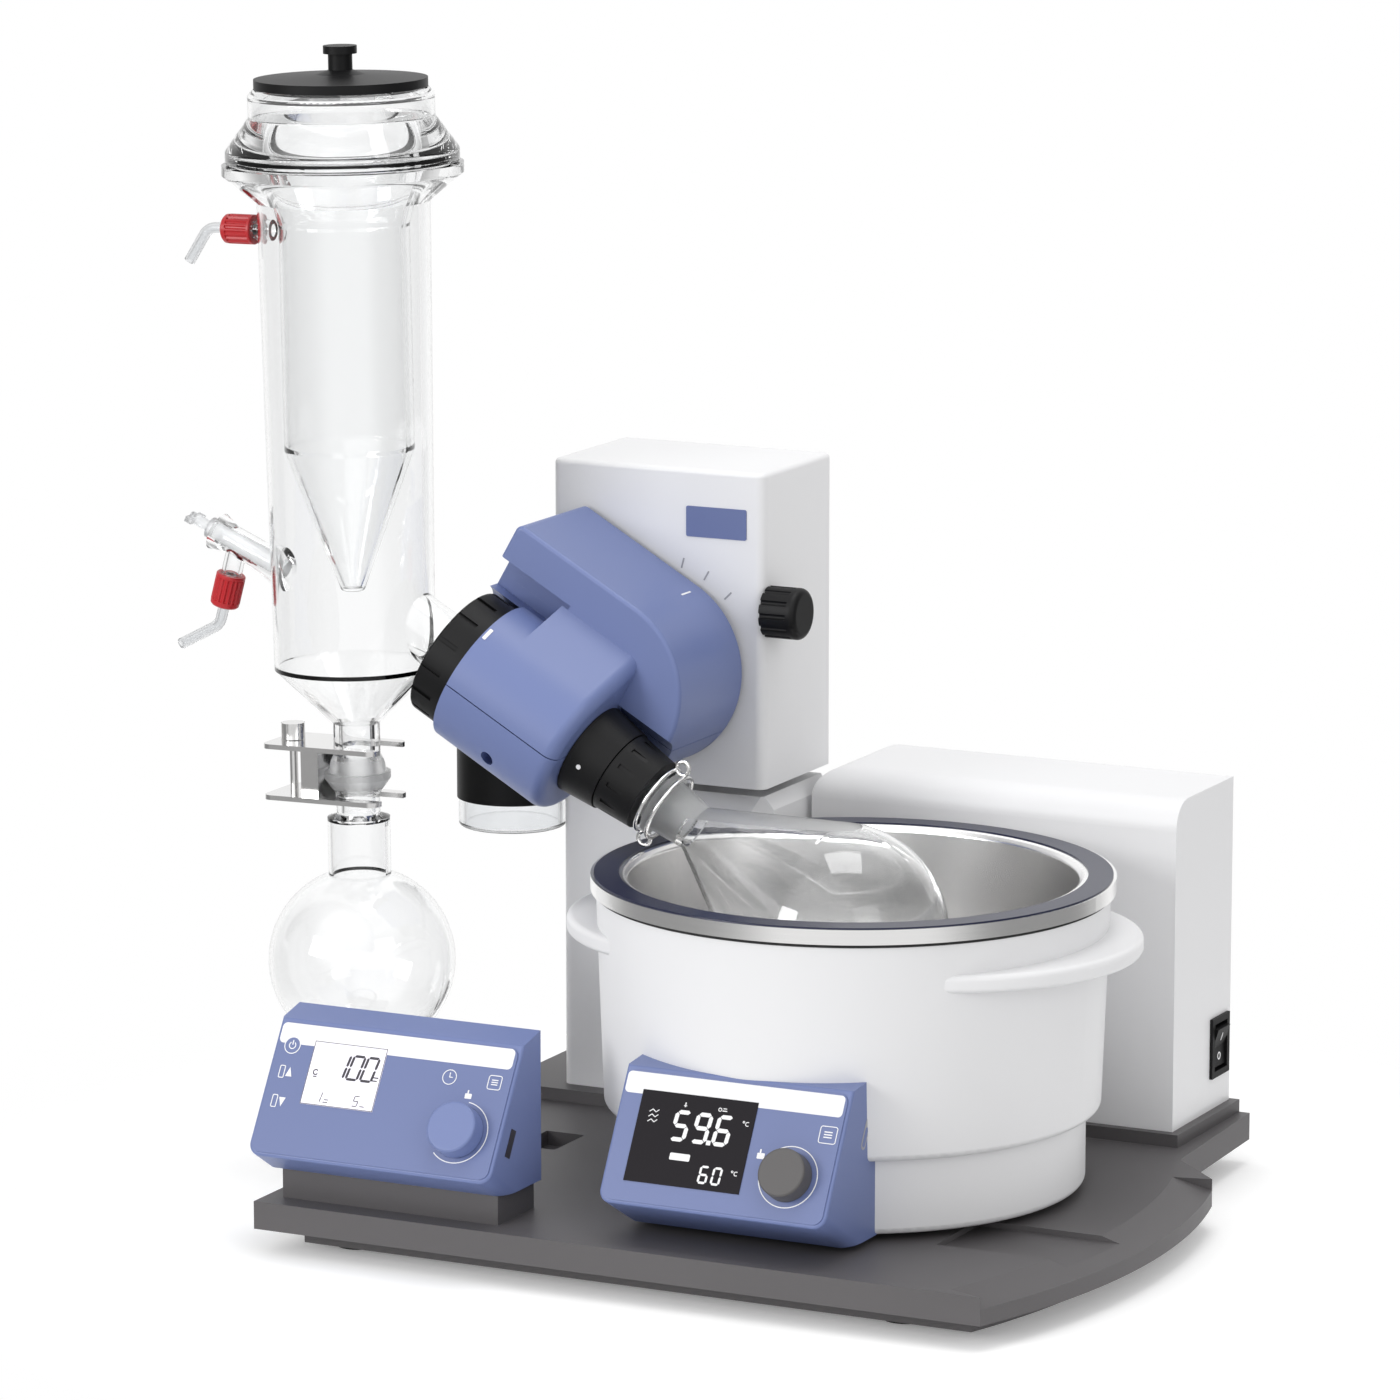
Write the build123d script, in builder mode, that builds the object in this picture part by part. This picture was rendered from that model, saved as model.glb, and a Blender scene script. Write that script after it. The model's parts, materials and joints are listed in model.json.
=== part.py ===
from build123d import *
import os
from math import acos, atan2, cos, degrees, hypot, radians, sin, sqrt, tan

os.makedirs("parts", exist_ok=True)

# Clearances between pieces that move past each other
run_gap = 0.4
face_gap = 0.6
fit_gap = 0.05

# Stand: feet, bottom pan and base plate, with the standing surface at z = 0
foot_height = 4.0
foot_radius = 14.0
foot_inset = 24.0
pan_height = 11.0
pan_inset = 22.0
plate_thickness = 17.0
base_left = -249.0
base_front = -222.0
base_back = 238.0
base_corner_x = 224.0
bulge_x = 258.0
bulge_y = -60.0
bulge_end_x = 243.0
bulge_end_y = 78.0
rear_notch_x = 208.0
rear_notch_y = 112.0
rear_right = 203.0
bulge_bevel_width = 24.0
bulge_bevel_drop = 7.0
plinth_height = 8.0
plinth_left = -240.0
plinth_margin = 6.0
slot_x = -157.0
slot_y = -16.0
slot_width = 26.0
slot_length = 40.0
slot_depth = 9.0
channel_y = -100.0
channel_width = 60.0
channel_depth = 3.5
channel_overlap = 35.0

# Lift tower
tower_x = -131.0
tower_width = 146.0
tower_front = 79.4
tower_depth = 98.0
cover_bottom = 243.0
cover_top = 440.0
cover_wall = 2.0
cover_round = 6.0
column_inset = 2.0
column_setback = 8.0
column_gap = 7.0
column_wall = 3.0
column_bevel = 9.0
lift_stroke = 140.0
rod_spacing = 92.0
rod_radius = 6.0
rod_setback = 70.0
bridge_thickness = 8.0
bridge_spare = 1.6
bridge_depth = 22.0
bridge_end = 9.0
screw_radius = 6.0
screw_journal_radius = 4.0
lift_motor_radius = 22.0
lift_motor_height = 72.0
lift_motor_round = 2.75
coupling_radius = 10.0
coupling_height = 18.0
carriage_height = 34.0
carriage_depth = 28.0
carriage_clearance = 7.0
nut_radius = 11.0

# Tilt pivot and its clamp
pivot_z = 316.0
pivot_shaft_radius = 14.0
pivot_flange_radius = 24.0
pivot_flange_thickness = 5.0
brake_radius = 52.0
brake_thickness = 6.0
brake_setback = 1.6
pivot_plate_setback = 3.0
pivot_plate_thickness = 12.0
pivot_plate_width = 120.0
pivot_plate_rise = 69.0
pivot_collar_radius = 20.0
pivot_collar_thickness = 6.0
clamp_rise = 38.0
clamp_screw_radius = 4.0
clamp_ear_width = 16.0
clamp_ear_height = 18.0
tower_knob_radius = 16.0
tower_knob_length = 24.0
tower_knob_grip = 18.0
tower_knob_round = 4.0
tower_knob_groove = 1.6
tower_knob_ribs = 12

# Electronics housing beside the tower
housing_gap = 2.5
housing_clear = 7.0
housing_right = 190.0
housing_back = 235.0
housing_height = 206.0
housing_wall = 3.0
housing_round = 18.0
switch_y = 216.0
switch_z = 79.0
switch_width = 24.0
switch_height = 34.0
switch_rim = 2.0
switch_depth = 16.0
rocker_back = 4.0
rocker_proud = 4.4
rocker_waist = 2.4
rocker_pin_radius = 1.5
rocker_pin_reach = 1.6
rocker_swing = 8.0
inlet_x = 120.0
inlet_z = 84.0
inlet_width = 32.0
inlet_height = 26.0
inlet_depth = 22.0
inlet_rim = 3.0
pin_pitch = 7.0
pin_rise = 3.0
pin_width = 2.0
pin_height = 4.2
pin_recess = 7.5
board_thickness = 2.0
board_standoff = 12.0

# Drive control pod
pod_left = -251.0
pod_right = -88.0
pod_tilt = 31.5
pod_face_length = 86.0
pod_chin = 24.0
pod_top_depth = 21.0
pod_top_rise = 5.0
pod_wall = 3.0
panel_corner = 8.0
panel_edge = 1.8
platform_left = -238.0
platform_right = -93.0
platform_front = -206.0
platform_height = 17.5
keypad_thickness = 0.8
keypad_margin = 2.0
keypad_corner = 6.0
display_thickness = 1.2
pod_display_x = -30.0
pod_display_width = 49.0
pod_display_height = 39.5
pod_display_base = 34.4
pod_knob_x = 53.8
pod_knob_base = 28.9
pod_knob_radius = 16.0
knob_height = 11.0
knob_round = 1.5
knob_draft = 2.0
knob_shaft_radius = 4.0
knob_shaft_length = 10.0

# Heating bath
bath_x = 50.0
bath_y = -21.0
bath_foot_height = 4.0
bath_foot_radius = 9.0
bath_foot_count = 4
bath_foot_inset = 28.0
bath_base_height = 46.0
bath_ledge = 9.0
bath_flare = 5.0
bath_top_radius = 154.0
bath_wall = 3.0
bath_round = 4.0
bath_rim_z = 222.0
rim_overhang = 3.0
rim_skirt = 9.0
rim_width = 19.0
pot_wall = 1.6
pot_draft = 8.0
pot_floor_z = 84.0
pot_corner = 22.0
ring_thickness = 0.8
ring_margin = 2.0
handle_reach = 24.0
handle_radius = 118.0
handle_clearance = 2.0
handle_round = 3.6
handle_z = 181.0
handle_thickness = 11.0
heater_inner = 40.0
heater_thickness = 6.0
bath_clearance = 5.0
panel_width = 146.0
panel_shift = -2.0
panel_tilt = 29.0
panel_face_length = 83.0
panel_stand = 50.6
panel_chin = 42.0
panel_top_depth = 21.0
panel_tuck = 49.0
panel_top_rise = 7.0
panel_wall = 3.0
panel_display_x = -21.3
panel_display_width = 74.6
panel_display_height = 55.3
panel_display_base = 14.1
panel_knob_x = 44.3
panel_knob_base = 28.0
panel_knob_radius = 15.0

# Drive head, in its own axes: along the rotor, and square to it in the tilt plane
head_tilt = 30.0
head_gap = 4.4
head_depth = 85.0
head_radius = 60.0
head_length = 92.0
head_wall = 4.0
head_round = 5.0
rotor_drop = 28.3
rotor_y = -21.0
barrel_radius = 47.0
barrel_rear = -63.0
barrel_front = 20.0
barrel_round = 8.0
saddle_top = 36.0
notch_rear = -84.0
notch_front = -42.0
notch_bottom = 12.0
notch_depth = 18.0
seam_slab = -8.0
seam_gap = 0.7
spigot_radius = 30.0
relief_gap = 2.0
spigot_length = 8.0
hub_radius = 18.0
hub_rear = -61.0
hub_front = 60.0
hub_bore_gap = 2.0
bearing_radius = 26.0
bearing_width = 11.0
rear_bearing = -52.0
front_bearing = 3.0
belt_x = -19.0
belt_width = 10.0
belt_thickness = 1.8
belt_room = 5.0
hub_pulley_radius = 24.0
pulley_lip = 1.2
motor_pulley_radius = 9.0
motor_shaft_radius = 3.0
motor_y = 30.0
motor_z = 20.0
motor_radius = 22.0
motor_flange_radius = 24.0
motor_length = 52.0
motor_plate_thickness = 3.0
guide_hole_radius = 4.5

# Rotor: collar, flask nut, vapour tube and evaporating flask
collar_rear_radius = 30.0
collar_front_radius = 27.0
collar_front = 44.6
flask_nut_front = 70.0
flask_nut_rear_radius = 26.0
flask_nut_front_radius = 23.7
flask_nut_lip = 9.0
flask_nut_ribs = 12
flask_nut_groove = 3.0
tube_radius = 12.0
tube_wall = 2.4
tube_rear = -84.0
ground_rear = 73.0
ground_front = 100.0
ground_rear_radius = 14.6
ground_front_radius = 12.9
flask_mouth = 76.0
flask_lip_radius = 20.5
flask_lip_width = 6.0
flask_neck_radius = 17.5
flask_waist = 105.0
flask_waist_radius = 15.0
flask_centre = 214.4
flask_radius = 66.0
glass_wall = 2.4
clip_wire = 1.3
clip_loop_radius = 4.2

# Union nut and condenser port
union_rear = -86.0
union_radius = 42.5
union_lip = 6.4
union_round = 2.1
union_ribs = 14
union_groove = 3.2
seal_thickness = 2.0
port_radius = 19.0
port_wall = 2.5
port_flange_radius = 27.0
port_flange_thickness = 6.0

# Condenser, heights measured along its axis from where the rotor axis meets it
condenser_x = -289.8
condenser_lean = 0.97
flange_top = 254.0
flange_thickness = 6.0
flange_radius = 73.7
jacket_top = 231.0
jacket_top_radius = 53.0
jacket_bottom = -57.0
jacket_bottom_radius = 49.5
stem_top = -91.5
stem_radius = 14.5
ball_height = -121.0
ball_radius = 17.5
ball_cut = 10.0
stem_bore = 9.0
finger_shoulder = 262.5
collar_bottom = 282.5
collar_top = 299.8
neck_radius = 57.0
neck_turn = 3.6
finger_flange_radius = 71.4
finger_top = 216.0
finger_radius = 40.0
finger_taper = 79.0
finger_tip = -9.0
finger_tip_radius = 7.0
lid_radius = 53.0
lid_thickness = 5.5
lid_dome = 2.5
lid_plug_depth = 3.0
lid_stem_radius = 7.4
lid_crown_radius = 15.0
lid_stem_height = 12.4
lid_knob_radius = 10.3
lid_knob_height = 4.8
side_port_height = 211.0
side_port_radius = 6.5
side_port_reach = 62.0
cap_radius = 9.2
cap_length = 23.0
cap_rim = 2.0
nipple_radius = 3.5
nipple_bore = 1.8
nipple_bend = 10.5
upper_nipple_out = 14.0
upper_nipple_drop = 21.0
lower_nipple_out = 28.0
lower_nipple_drop = 14.0
valve_base_height = 2.0
valve_angle = 24.0
valve_radius = 9.0
valve_length = 104.0
valve_root = 46.0
valve_root_length = 26.0
valve_root_radius = 14.0
valve_flare_radius = 12.0
valve_flare_length = 10.0
valve_bore = 6.0
spindle_length = 20.0
spindle_handle_radius = 3.4
spindle_disc_radius = 6.8
spindle_disc_height = 5.0
spindle_bar_length = 17.0
spindle_bar_at = 15.0
valve_cap_at = 88.0
valve_cap_lean = 16.0

# Receiver and its ball-joint clamp
socket_radius = 20.5
socket_rim = 1.0
receiver_tube_radius = 13.5
receiver_tube_drop = 27.0
receiver_neck_radius = 19.4
receiver_neck_length = 38.0
receiver_radius = 58.0
fork_thickness = 3.0
fork_width = 44.0
fork_rear = -56.0
fork_front = 24.0
upper_fork = -108.0
lower_fork = -140.0
fork_block_rear = -34.0
fork_block_width = 12.0
fork_screw_at = -45.0
fork_screw_radius = 2.6
fork_knob_radius = 7.5
fork_knob_height = 10.0
fork_knob_ribs = 12
fork_knob_groove = 1.25

# Clear cup in its holder on the left wall of the tower
cup_y = 92.0
cup_radius = 35.0
cup_bottom = 203.0
cup_height = 24.0
cup_wall = 2.2
holder_bottom = 221.0
holder_top = 270.0
holder_wall = 3.0
lug_width = 24.0

# Places worked out from the sizes above
plate_bottom = foot_height + pan_height
plate_top = plate_bottom + plate_thickness
plinth_top = plate_top + plinth_height
platform_top = plate_top + platform_height
tower_left = tower_x - tower_width / 2
tower_right = tower_x + tower_width / 2
tower_back = tower_front + tower_depth
column_front = tower_front + column_setback
column_top = cover_bottom - column_gap
rod_y = tower_front + rod_setback
carriage_bottom = cover_bottom + carriage_clearance
carriage_top = carriage_bottom + carriage_height
bridge_bottom = carriage_top + lift_stroke + bridge_spare
bridge_top = bridge_bottom + bridge_thickness
lift_motor_top = plinth_top + lift_motor_height
brake_back = tower_front + cover_wall + brake_setback + brake_thickness
pivot_plate_front = brake_back + pivot_plate_setback
pivot_plate_back = pivot_plate_front + pivot_plate_thickness
clamp_y = brake_back - brake_thickness / 2
clamp_z = pivot_z + clamp_rise
housing_left = tower_right + housing_gap
housing_top = plinth_top + housing_height
head_back = tower_front - head_gap
head_front = head_back - head_depth
motor_front = belt_x - belt_width / 2 - belt_room / 2
bath_bottom = plate_top + bath_foot_height
bath_step_z = bath_bottom + bath_base_height
bath_seat_z = bath_rim_z - pot_wall
bath_step_radius = bath_top_radius - bath_flare
bath_base_radius = bath_step_radius - bath_ledge
bath_foot_circle = bath_base_radius - bath_foot_inset
rim_radius = bath_top_radius + rim_overhang
rim_inner_radius = rim_radius - rim_width
pot_top_radius = rim_inner_radius - ring_margin
pot_floor_radius = pot_top_radius - pot_draft
handle_offset = bath_top_radius + handle_reach - handle_radius
housing_front = bath_y + rim_radius + housing_clear
lean_x = sin(radians(condenser_lean))
lean_z = cos(radians(condenser_lean))
along = Vector(cos(radians(head_tilt)), 0, -sin(radians(head_tilt)))
upward = Vector(sin(radians(head_tilt)), 0, cos(radians(head_tilt)))


def head_point(x, y, z):
    # A point given along the rotor, across it and square to it, as a world point
    return Vector(tower_x, y, pivot_z) + along * x + upward * z


def head_face(y):
    # A plane parallel to the tower's front, its normal towards the front
    return Plane(origin=head_point(0, y, 0), x_dir=along, z_dir=(0, -1, 0))


def rotor_face(x, y=rotor_y, z=-rotor_drop):
    # A plane square to the rotor at x along it, by default centred on the rotor axis
    return Plane(origin=head_point(x, y, z), x_dir=(0, 1, 0), z_dir=along)


rotor_section = Plane(origin=head_point(0, rotor_y, -rotor_drop), x_dir=along, z_dir=(0, -1, 0))
rotor_axis = Axis(origin=head_point(0, rotor_y, -rotor_drop), direction=along)
axis_reach = (condenser_x - rotor_section.origin.X) / along.X
condenser_foot = head_point(axis_reach, rotor_y, -rotor_drop)
condenser_up = Vector(-lean_x, 0, lean_z)
condenser_out = Vector(lean_z, 0, lean_x)
condenser_section = Plane(origin=condenser_foot, x_dir=condenser_out, z_dir=(0, -1, 0))
condenser_axis = Axis(origin=condenser_foot, direction=condenser_up)
bath_section = Plane(origin=(bath_x, bath_y, 0), x_dir=(1, 0, 0), z_dir=(0, -1, 0))
bath_axis = Axis(origin=(bath_x, bath_y, 0), direction=(0, 0, 1))


def condenser_face(height, out=0.0):
    # A plane square to the condenser, out along its own x from its axis
    origin = condenser_foot + condenser_up * height + condenser_out * out
    return Plane(origin=origin, x_dir=condenser_out, z_dir=condenser_up)


def slanted_face(centre_x, y, z, tilt):
    # A control panel's face, its y axis up the slope and its normal out of the face
    slope = radians(tilt)
    return Plane(origin=(centre_x, y, z), x_dir=(1, 0, 0), z_dir=(0, -cos(slope), sin(slope)))


def on_face(plane, x, y, height):
    # A plane parallel to another, moved to a point given in that plane's own axes
    origin = plane.from_local_coords((x, y, height))
    return Plane(origin=origin, x_dir=plane.x_dir, z_dir=plane.z_dir)


def block(x_span, y_span, z_span, mode=Mode.ADD):
    # A box between two values on each world axis
    middle = Vector(*[(span[0] + span[1]) / 2 for span in (x_span, y_span, z_span)])
    size = [span[1] - span[0] for span in (x_span, y_span, z_span)]
    with Locations(middle):
        Box(*size, mode=mode)


def rod(plane, radius, length, mode=Mode.ADD):
    # A cylinder standing on a plane
    with Locations(plane):
        Cylinder(radius, length, align=(Align.CENTER, Align.CENTER, Align.MIN), mode=mode)


def taper(plane, base, top, length, mode=Mode.ADD):
    # A cone frustum standing on a plane
    with Locations(plane):
        Cone(base, top, length, align=(Align.CENTER, Align.CENTER, Align.MIN), mode=mode)


def tangent_angle(point, centre, radius):
    # The angle at a circle's centre of the point where a line from outside touches it
    away = atan2(point[1] - centre[1], point[0] - centre[0])
    return away - acos(radius / hypot(point[0] - centre[0], point[1] - centre[1]))


def on_circle(centre, radius, angle):
    # A point of a circle
    return (centre[0] + radius * cos(angle), centre[1] + radius * sin(angle))


def finish(builder, label):
    # Names a piece and writes it
    builder.part.label = label
    export_step(builder.part, "parts/" + label + ".step")


# Base plate with its bevelled bulge, rear plinth and pod platform
with BuildPart() as base_plate:
    with BuildSketch(Plane.XY.offset(plate_bottom)) as base_outline:
        with BuildLine():
            Polyline(
                (bulge_end_x, bulge_end_y),
                (rear_notch_x, rear_notch_y),
                (rear_right, base_back),
                (base_left, base_back),
                (base_left, base_front),
                (base_corner_x, base_front),
            )
            bulge = ThreePointArc(
                (base_corner_x, base_front), (bulge_x, bulge_y), (bulge_end_x, bulge_end_y)
            )
        make_face()
    extrude(amount=plate_thickness)
    bulge_middle = bulge.arc_center
    bevel_start = atan2(base_front - bulge_middle.Y, base_corner_x - bulge_middle.X)
    bevel_end = atan2(bulge_end_y - bulge_middle.Y, bulge_end_x - bulge_middle.X)
    bevel_plane = Plane(
        origin=(bulge_middle.X, bulge_middle.Y, plate_top),
        x_dir=(cos(bevel_start), sin(bevel_start), 0),
        z_dir=(sin(bevel_start), -cos(bevel_start), 0),
    )
    with BuildSketch(bevel_plane):
        with BuildLine():
            Polyline(
                (bulge.radius - bulge_bevel_width, 0),
                (bulge.radius + bulge_bevel_width, -bulge_bevel_drop * 2),
                (bulge.radius + bulge_bevel_width, 0),
                close=True,
            )
        make_face()
    revolve(
        axis=Axis((bulge_middle.X, bulge_middle.Y, 0), (0, 0, 1)),
        revolution_arc=degrees(bevel_end - bevel_start),
        mode=Mode.SUBTRACT,
    )
    with BuildSketch(Plane.XY.offset(plate_top)):
        with BuildLine():
            Polyline(
                (plinth_left, tower_front - plinth_margin),
                (housing_left, tower_front - plinth_margin),
                (housing_left, housing_front - plinth_margin),
                (housing_right + plinth_margin, housing_front - plinth_margin),
                (housing_right + plinth_margin, base_back),
                (plinth_left, base_back),
                close=True,
            )
        make_face()
    extrude(amount=plinth_height)
    rod(
        Plane((bath_x, bath_y, plate_top)),
        bath_base_radius + bath_clearance,
        plinth_height,
        mode=Mode.SUBTRACT,
    )
    block(
        (platform_left, platform_right),
        (platform_front, platform_front + pod_top_depth + pod_face_length * sin(radians(pod_tilt))
         - pod_chin * cos(radians(pod_tilt))),
        (plate_top, platform_top),
    )
    block(
        (slot_x - slot_width / 2, slot_x + slot_width / 2),
        (slot_y - slot_length / 2, slot_y + slot_length / 2),
        (plate_top - slot_depth, plate_top),
        mode=Mode.SUBTRACT,
    )
    block(
        (bath_x + bath_base_radius - channel_overlap, bulge_x),
        (channel_y - channel_width / 2, channel_y + channel_width / 2),
        (plate_top - channel_depth, plate_top),
        mode=Mode.SUBTRACT,
    )
finish(base_plate, "base_plate")

# Bottom pan, set back under the plate
with BuildPart() as bottom_pan:
    with BuildSketch(Plane.XY.offset(foot_height)):
        add(base_outline.sketch_local)
        offset(amount=-pan_inset, mode=Mode.REPLACE)
    extrude(amount=pan_height)
finish(bottom_pan, "bottom_pan")

# Rubber feet near the corners of the pan and one under its middle
with BuildPart() as feet:
    foot_x = (base_left + pan_inset + foot_inset, rear_right - pan_inset - foot_inset)
    foot_y = (base_front + pan_inset + foot_inset, base_back - pan_inset - foot_inset)
    for x in foot_x:
        for y in foot_y:
            rod(Plane((x, y, 0)), foot_radius, foot_height)
    rod(Plane.XY, foot_radius, foot_height)
finish(feet, "feet")

# Fixed lower column of the tower, hollowed towards the bath and its handle
with BuildPart() as lower_column:
    column_x = (tower_left + column_inset, tower_right - column_inset)
    column_y = (column_front, tower_back - column_inset)
    block(column_x, column_y, (plinth_top, column_top))
    front_edges = lower_column.edges().filter_by(Axis.Z).group_by(Axis.Y)[0]
    fillet(front_edges, cover_round)
    top_front = lower_column.faces().sort_by(Axis.Z)[-1].edges().sort_by(Axis.Y)[0]
    chamfer(top_front, column_bevel / 2, column_bevel)
    block(
        (column_x[0] + column_wall, column_x[1] - column_wall),
        (column_y[0] + column_bevel, column_y[1] - column_wall),
        (plinth_top, column_top - column_wall * 2),
        mode=Mode.SUBTRACT,
    )
    rod(
        Plane((bath_x, bath_y, plinth_top)),
        rim_radius + bath_clearance,
        column_top - plinth_top,
        mode=Mode.SUBTRACT,
    )
    rod(
        Plane((bath_x - handle_offset, bath_y, plinth_top)),
        handle_radius + handle_clearance,
        column_top - plinth_top,
        mode=Mode.SUBTRACT,
    )
    for side in (-1, 1):
        rod(
            Plane((tower_x + side * rod_spacing / 2, rod_y, plinth_top)),
            rod_radius,
            column_top - plinth_top,
            mode=Mode.SUBTRACT,
        )
    rod(
        Plane((tower_x, rod_y, plinth_top)),
        screw_radius + run_gap,
        column_top - plinth_top,
        mode=Mode.SUBTRACT,
    )
finish(lower_column, "lower_column")

# Two guide rods that the carriage runs on
with BuildPart() as guide_rods:
    for side in (-1, 1):
        rod(
            Plane((tower_x + side * rod_spacing / 2, rod_y, plinth_top)),
            rod_radius,
            bridge_top - plinth_top,
        )
finish(guide_rods, "guide_rods")

# Bridge across the rods that carries the top of the lift screw
with BuildPart() as rod_bridge:
    block(
        (tower_x - rod_spacing / 2 - bridge_end, tower_x + rod_spacing / 2 + bridge_end),
        (rod_y - bridge_depth / 2, rod_y + bridge_depth / 2),
        (bridge_bottom, bridge_top),
    )
    for side in (-1, 1):
        rod(
            Plane((tower_x + side * rod_spacing / 2, rod_y, bridge_bottom)),
            rod_radius,
            bridge_thickness,
            mode=Mode.SUBTRACT,
        )
    rod(
        Plane((tower_x, rod_y, bridge_bottom)),
        screw_journal_radius + fit_gap,
        bridge_thickness,
        mode=Mode.SUBTRACT,
    )
finish(rod_bridge, "rod_bridge")

# Gear motor that turns the lift screw
with BuildPart() as lift_motor:
    rod(Plane((tower_x, rod_y, plinth_top)), lift_motor_radius, lift_motor_height)
    fillet(lift_motor.edges().group_by(Axis.Z)[-1], lift_motor_round)
finish(lift_motor, "lift_motor")

# Lift screw with its coupling and its top journal
with BuildPart() as lift_screw:
    rod(Plane((tower_x, rod_y, lift_motor_top + run_gap)), coupling_radius, coupling_height)
    rod(
        Plane((tower_x, rod_y, lift_motor_top + run_gap)),
        screw_radius,
        bridge_bottom - lift_motor_top - run_gap * 2,
    )
    rod(
        Plane((tower_x, rod_y, lift_motor_top + run_gap)),
        screw_journal_radius,
        bridge_top - lift_motor_top - run_gap * 2,
    )
finish(lift_screw, "lift_screw")

# Sheet cover of the tower, open below, that rises with the lift
with BuildPart() as tower_cover:
    block((tower_left, tower_right), (tower_front, tower_back), (cover_bottom, cover_top))
    fillet(tower_cover.edges().filter_by(Axis.Z), cover_round)
    fillet(tower_cover.faces().sort_by(Axis.Z)[-1].edges(), cover_round / 2)
    block(
        (tower_left + cover_wall, tower_right - cover_wall),
        (tower_front + cover_wall, tower_back - cover_wall),
        (cover_bottom, cover_top - cover_wall),
        mode=Mode.SUBTRACT,
    )
    rod(
        head_face(tower_front + cover_wall),
        pivot_shaft_radius + run_gap,
        cover_wall,
        mode=Mode.SUBTRACT,
    )
    rod(
        Plane(origin=(tower_right, clamp_y, clamp_z), z_dir=(-1, 0, 0)),
        clamp_screw_radius + run_gap,
        cover_wall,
        mode=Mode.SUBTRACT,
    )
finish(tower_cover, "tower_cover")

# Carriage on the rods, with the plate that carries the tilt pivot and its clamp ear
with BuildPart() as carriage:
    carriage_y = (rod_y - carriage_depth / 2, rod_y + carriage_depth / 2)
    inner_x = (tower_left + cover_wall, tower_right - cover_wall)
    plate_x = (tower_x - pivot_plate_width / 2, tower_x + pivot_plate_width / 2)
    block(inner_x, carriage_y, (carriage_bottom, carriage_top))
    block(plate_x, (pivot_plate_front, carriage_y[0]), (carriage_bottom, carriage_top))
    block(
        plate_x,
        (pivot_plate_front, pivot_plate_back),
        (carriage_bottom, pivot_z + pivot_plate_rise),
    )
    block(
        (plate_x[1] - clamp_ear_width / 2, plate_x[1] + clamp_ear_width / 2),
        (tower_front + cover_wall, pivot_plate_back),
        (clamp_z - clamp_ear_height / 2, clamp_z + clamp_ear_height / 2),
    )
    rod(
        head_face(pivot_plate_back),
        pivot_shaft_radius + fit_gap,
        pivot_plate_thickness,
        mode=Mode.SUBTRACT,
    )
    rod(
        Plane(origin=(tower_right, clamp_y, clamp_z), z_dir=(-1, 0, 0)),
        clamp_screw_radius + fit_gap,
        tower_width / 2,
        mode=Mode.SUBTRACT,
    )
    for side in (-1, 1):
        rod(
            Plane((tower_x + side * rod_spacing / 2, rod_y, carriage_bottom)),
            rod_radius + fit_gap,
            carriage_height,
            mode=Mode.SUBTRACT,
        )
    rod(Plane((tower_x, rod_y, carriage_bottom)), nut_radius, carriage_height, mode=Mode.SUBTRACT)
finish(carriage, "carriage")

# Bronze nut pressed into the carriage
with BuildPart() as lift_nut:
    rod(Plane((tower_x, rod_y, carriage_bottom)), nut_radius, carriage_height)
    rod(
        Plane((tower_x, rod_y, carriage_bottom)),
        screw_radius + fit_gap,
        carriage_height,
        mode=Mode.SUBTRACT,
    )
finish(lift_nut, "lift_nut")

# Ribbed knob whose screw clamps the rim of the brake disc
with BuildPart() as tower_knob:
    knob_base_x = tower_right + run_gap
    clamp_tip = tower_x + sqrt(brake_radius**2 - (clamp_rise - clamp_screw_radius) ** 2) + run_gap
    knob_plane = Plane(origin=(knob_base_x, clamp_y, clamp_z), z_dir=(1, 0, 0))
    rod(knob_plane, tower_knob_radius, tower_knob_length)
    fillet(tower_knob.edges().sort_by(Axis.X)[-1], tower_knob_round)
    with Locations(knob_plane):
        with PolarLocations(tower_knob_radius, tower_knob_ribs):
            Cylinder(
                tower_knob_groove,
                tower_knob_grip,
                align=(Align.CENTER, Align.CENTER, Align.MIN),
                mode=Mode.SUBTRACT,
            )
    rod(
        Plane(origin=(knob_base_x, clamp_y, clamp_z), z_dir=(-1, 0, 0)),
        clamp_screw_radius,
        knob_base_x - clamp_tip,
    )
finish(tower_knob, "tower_knob")

# Clear cup and its black holder on the tower's left wall
cup_x = tower_left - cup_radius - run_gap
with BuildPart() as cup_holder:
    rod(Plane((cup_x, cup_y, holder_bottom)), cup_radius, holder_top - holder_bottom)
    fillet(cup_holder.edges().group_by(Axis.Z)[-1], holder_wall)
    block(
        (cup_x, tower_left),
        (cup_y - lug_width / 2, cup_y + lug_width / 2),
        (cover_bottom, holder_top - holder_wall),
    )
    rod(
        Plane((cup_x, cup_y, holder_bottom)),
        cup_radius - holder_wall,
        holder_top - holder_bottom - holder_wall * 2,
        mode=Mode.SUBTRACT,
    )
finish(cup_holder, "cup_holder")

with BuildPart() as cup:
    rod(Plane((cup_x, cup_y, cup_bottom)), cup_radius - holder_wall, cup_height + holder_wall * 2)
    rod(Plane((cup_x, cup_y, cup_bottom)), cup_radius - holder_wall / 3, holder_bottom - cup_bottom)
    fillet(cup.edges().group_by(Axis.Z)[0], cup_wall)
    rod(
        Plane((cup_x, cup_y, cup_bottom + cup_wall)),
        cup_radius - holder_wall - cup_wall,
        cup_height + holder_wall * 2,
        mode=Mode.SUBTRACT,
    )
finish(cup, "cup")

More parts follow.
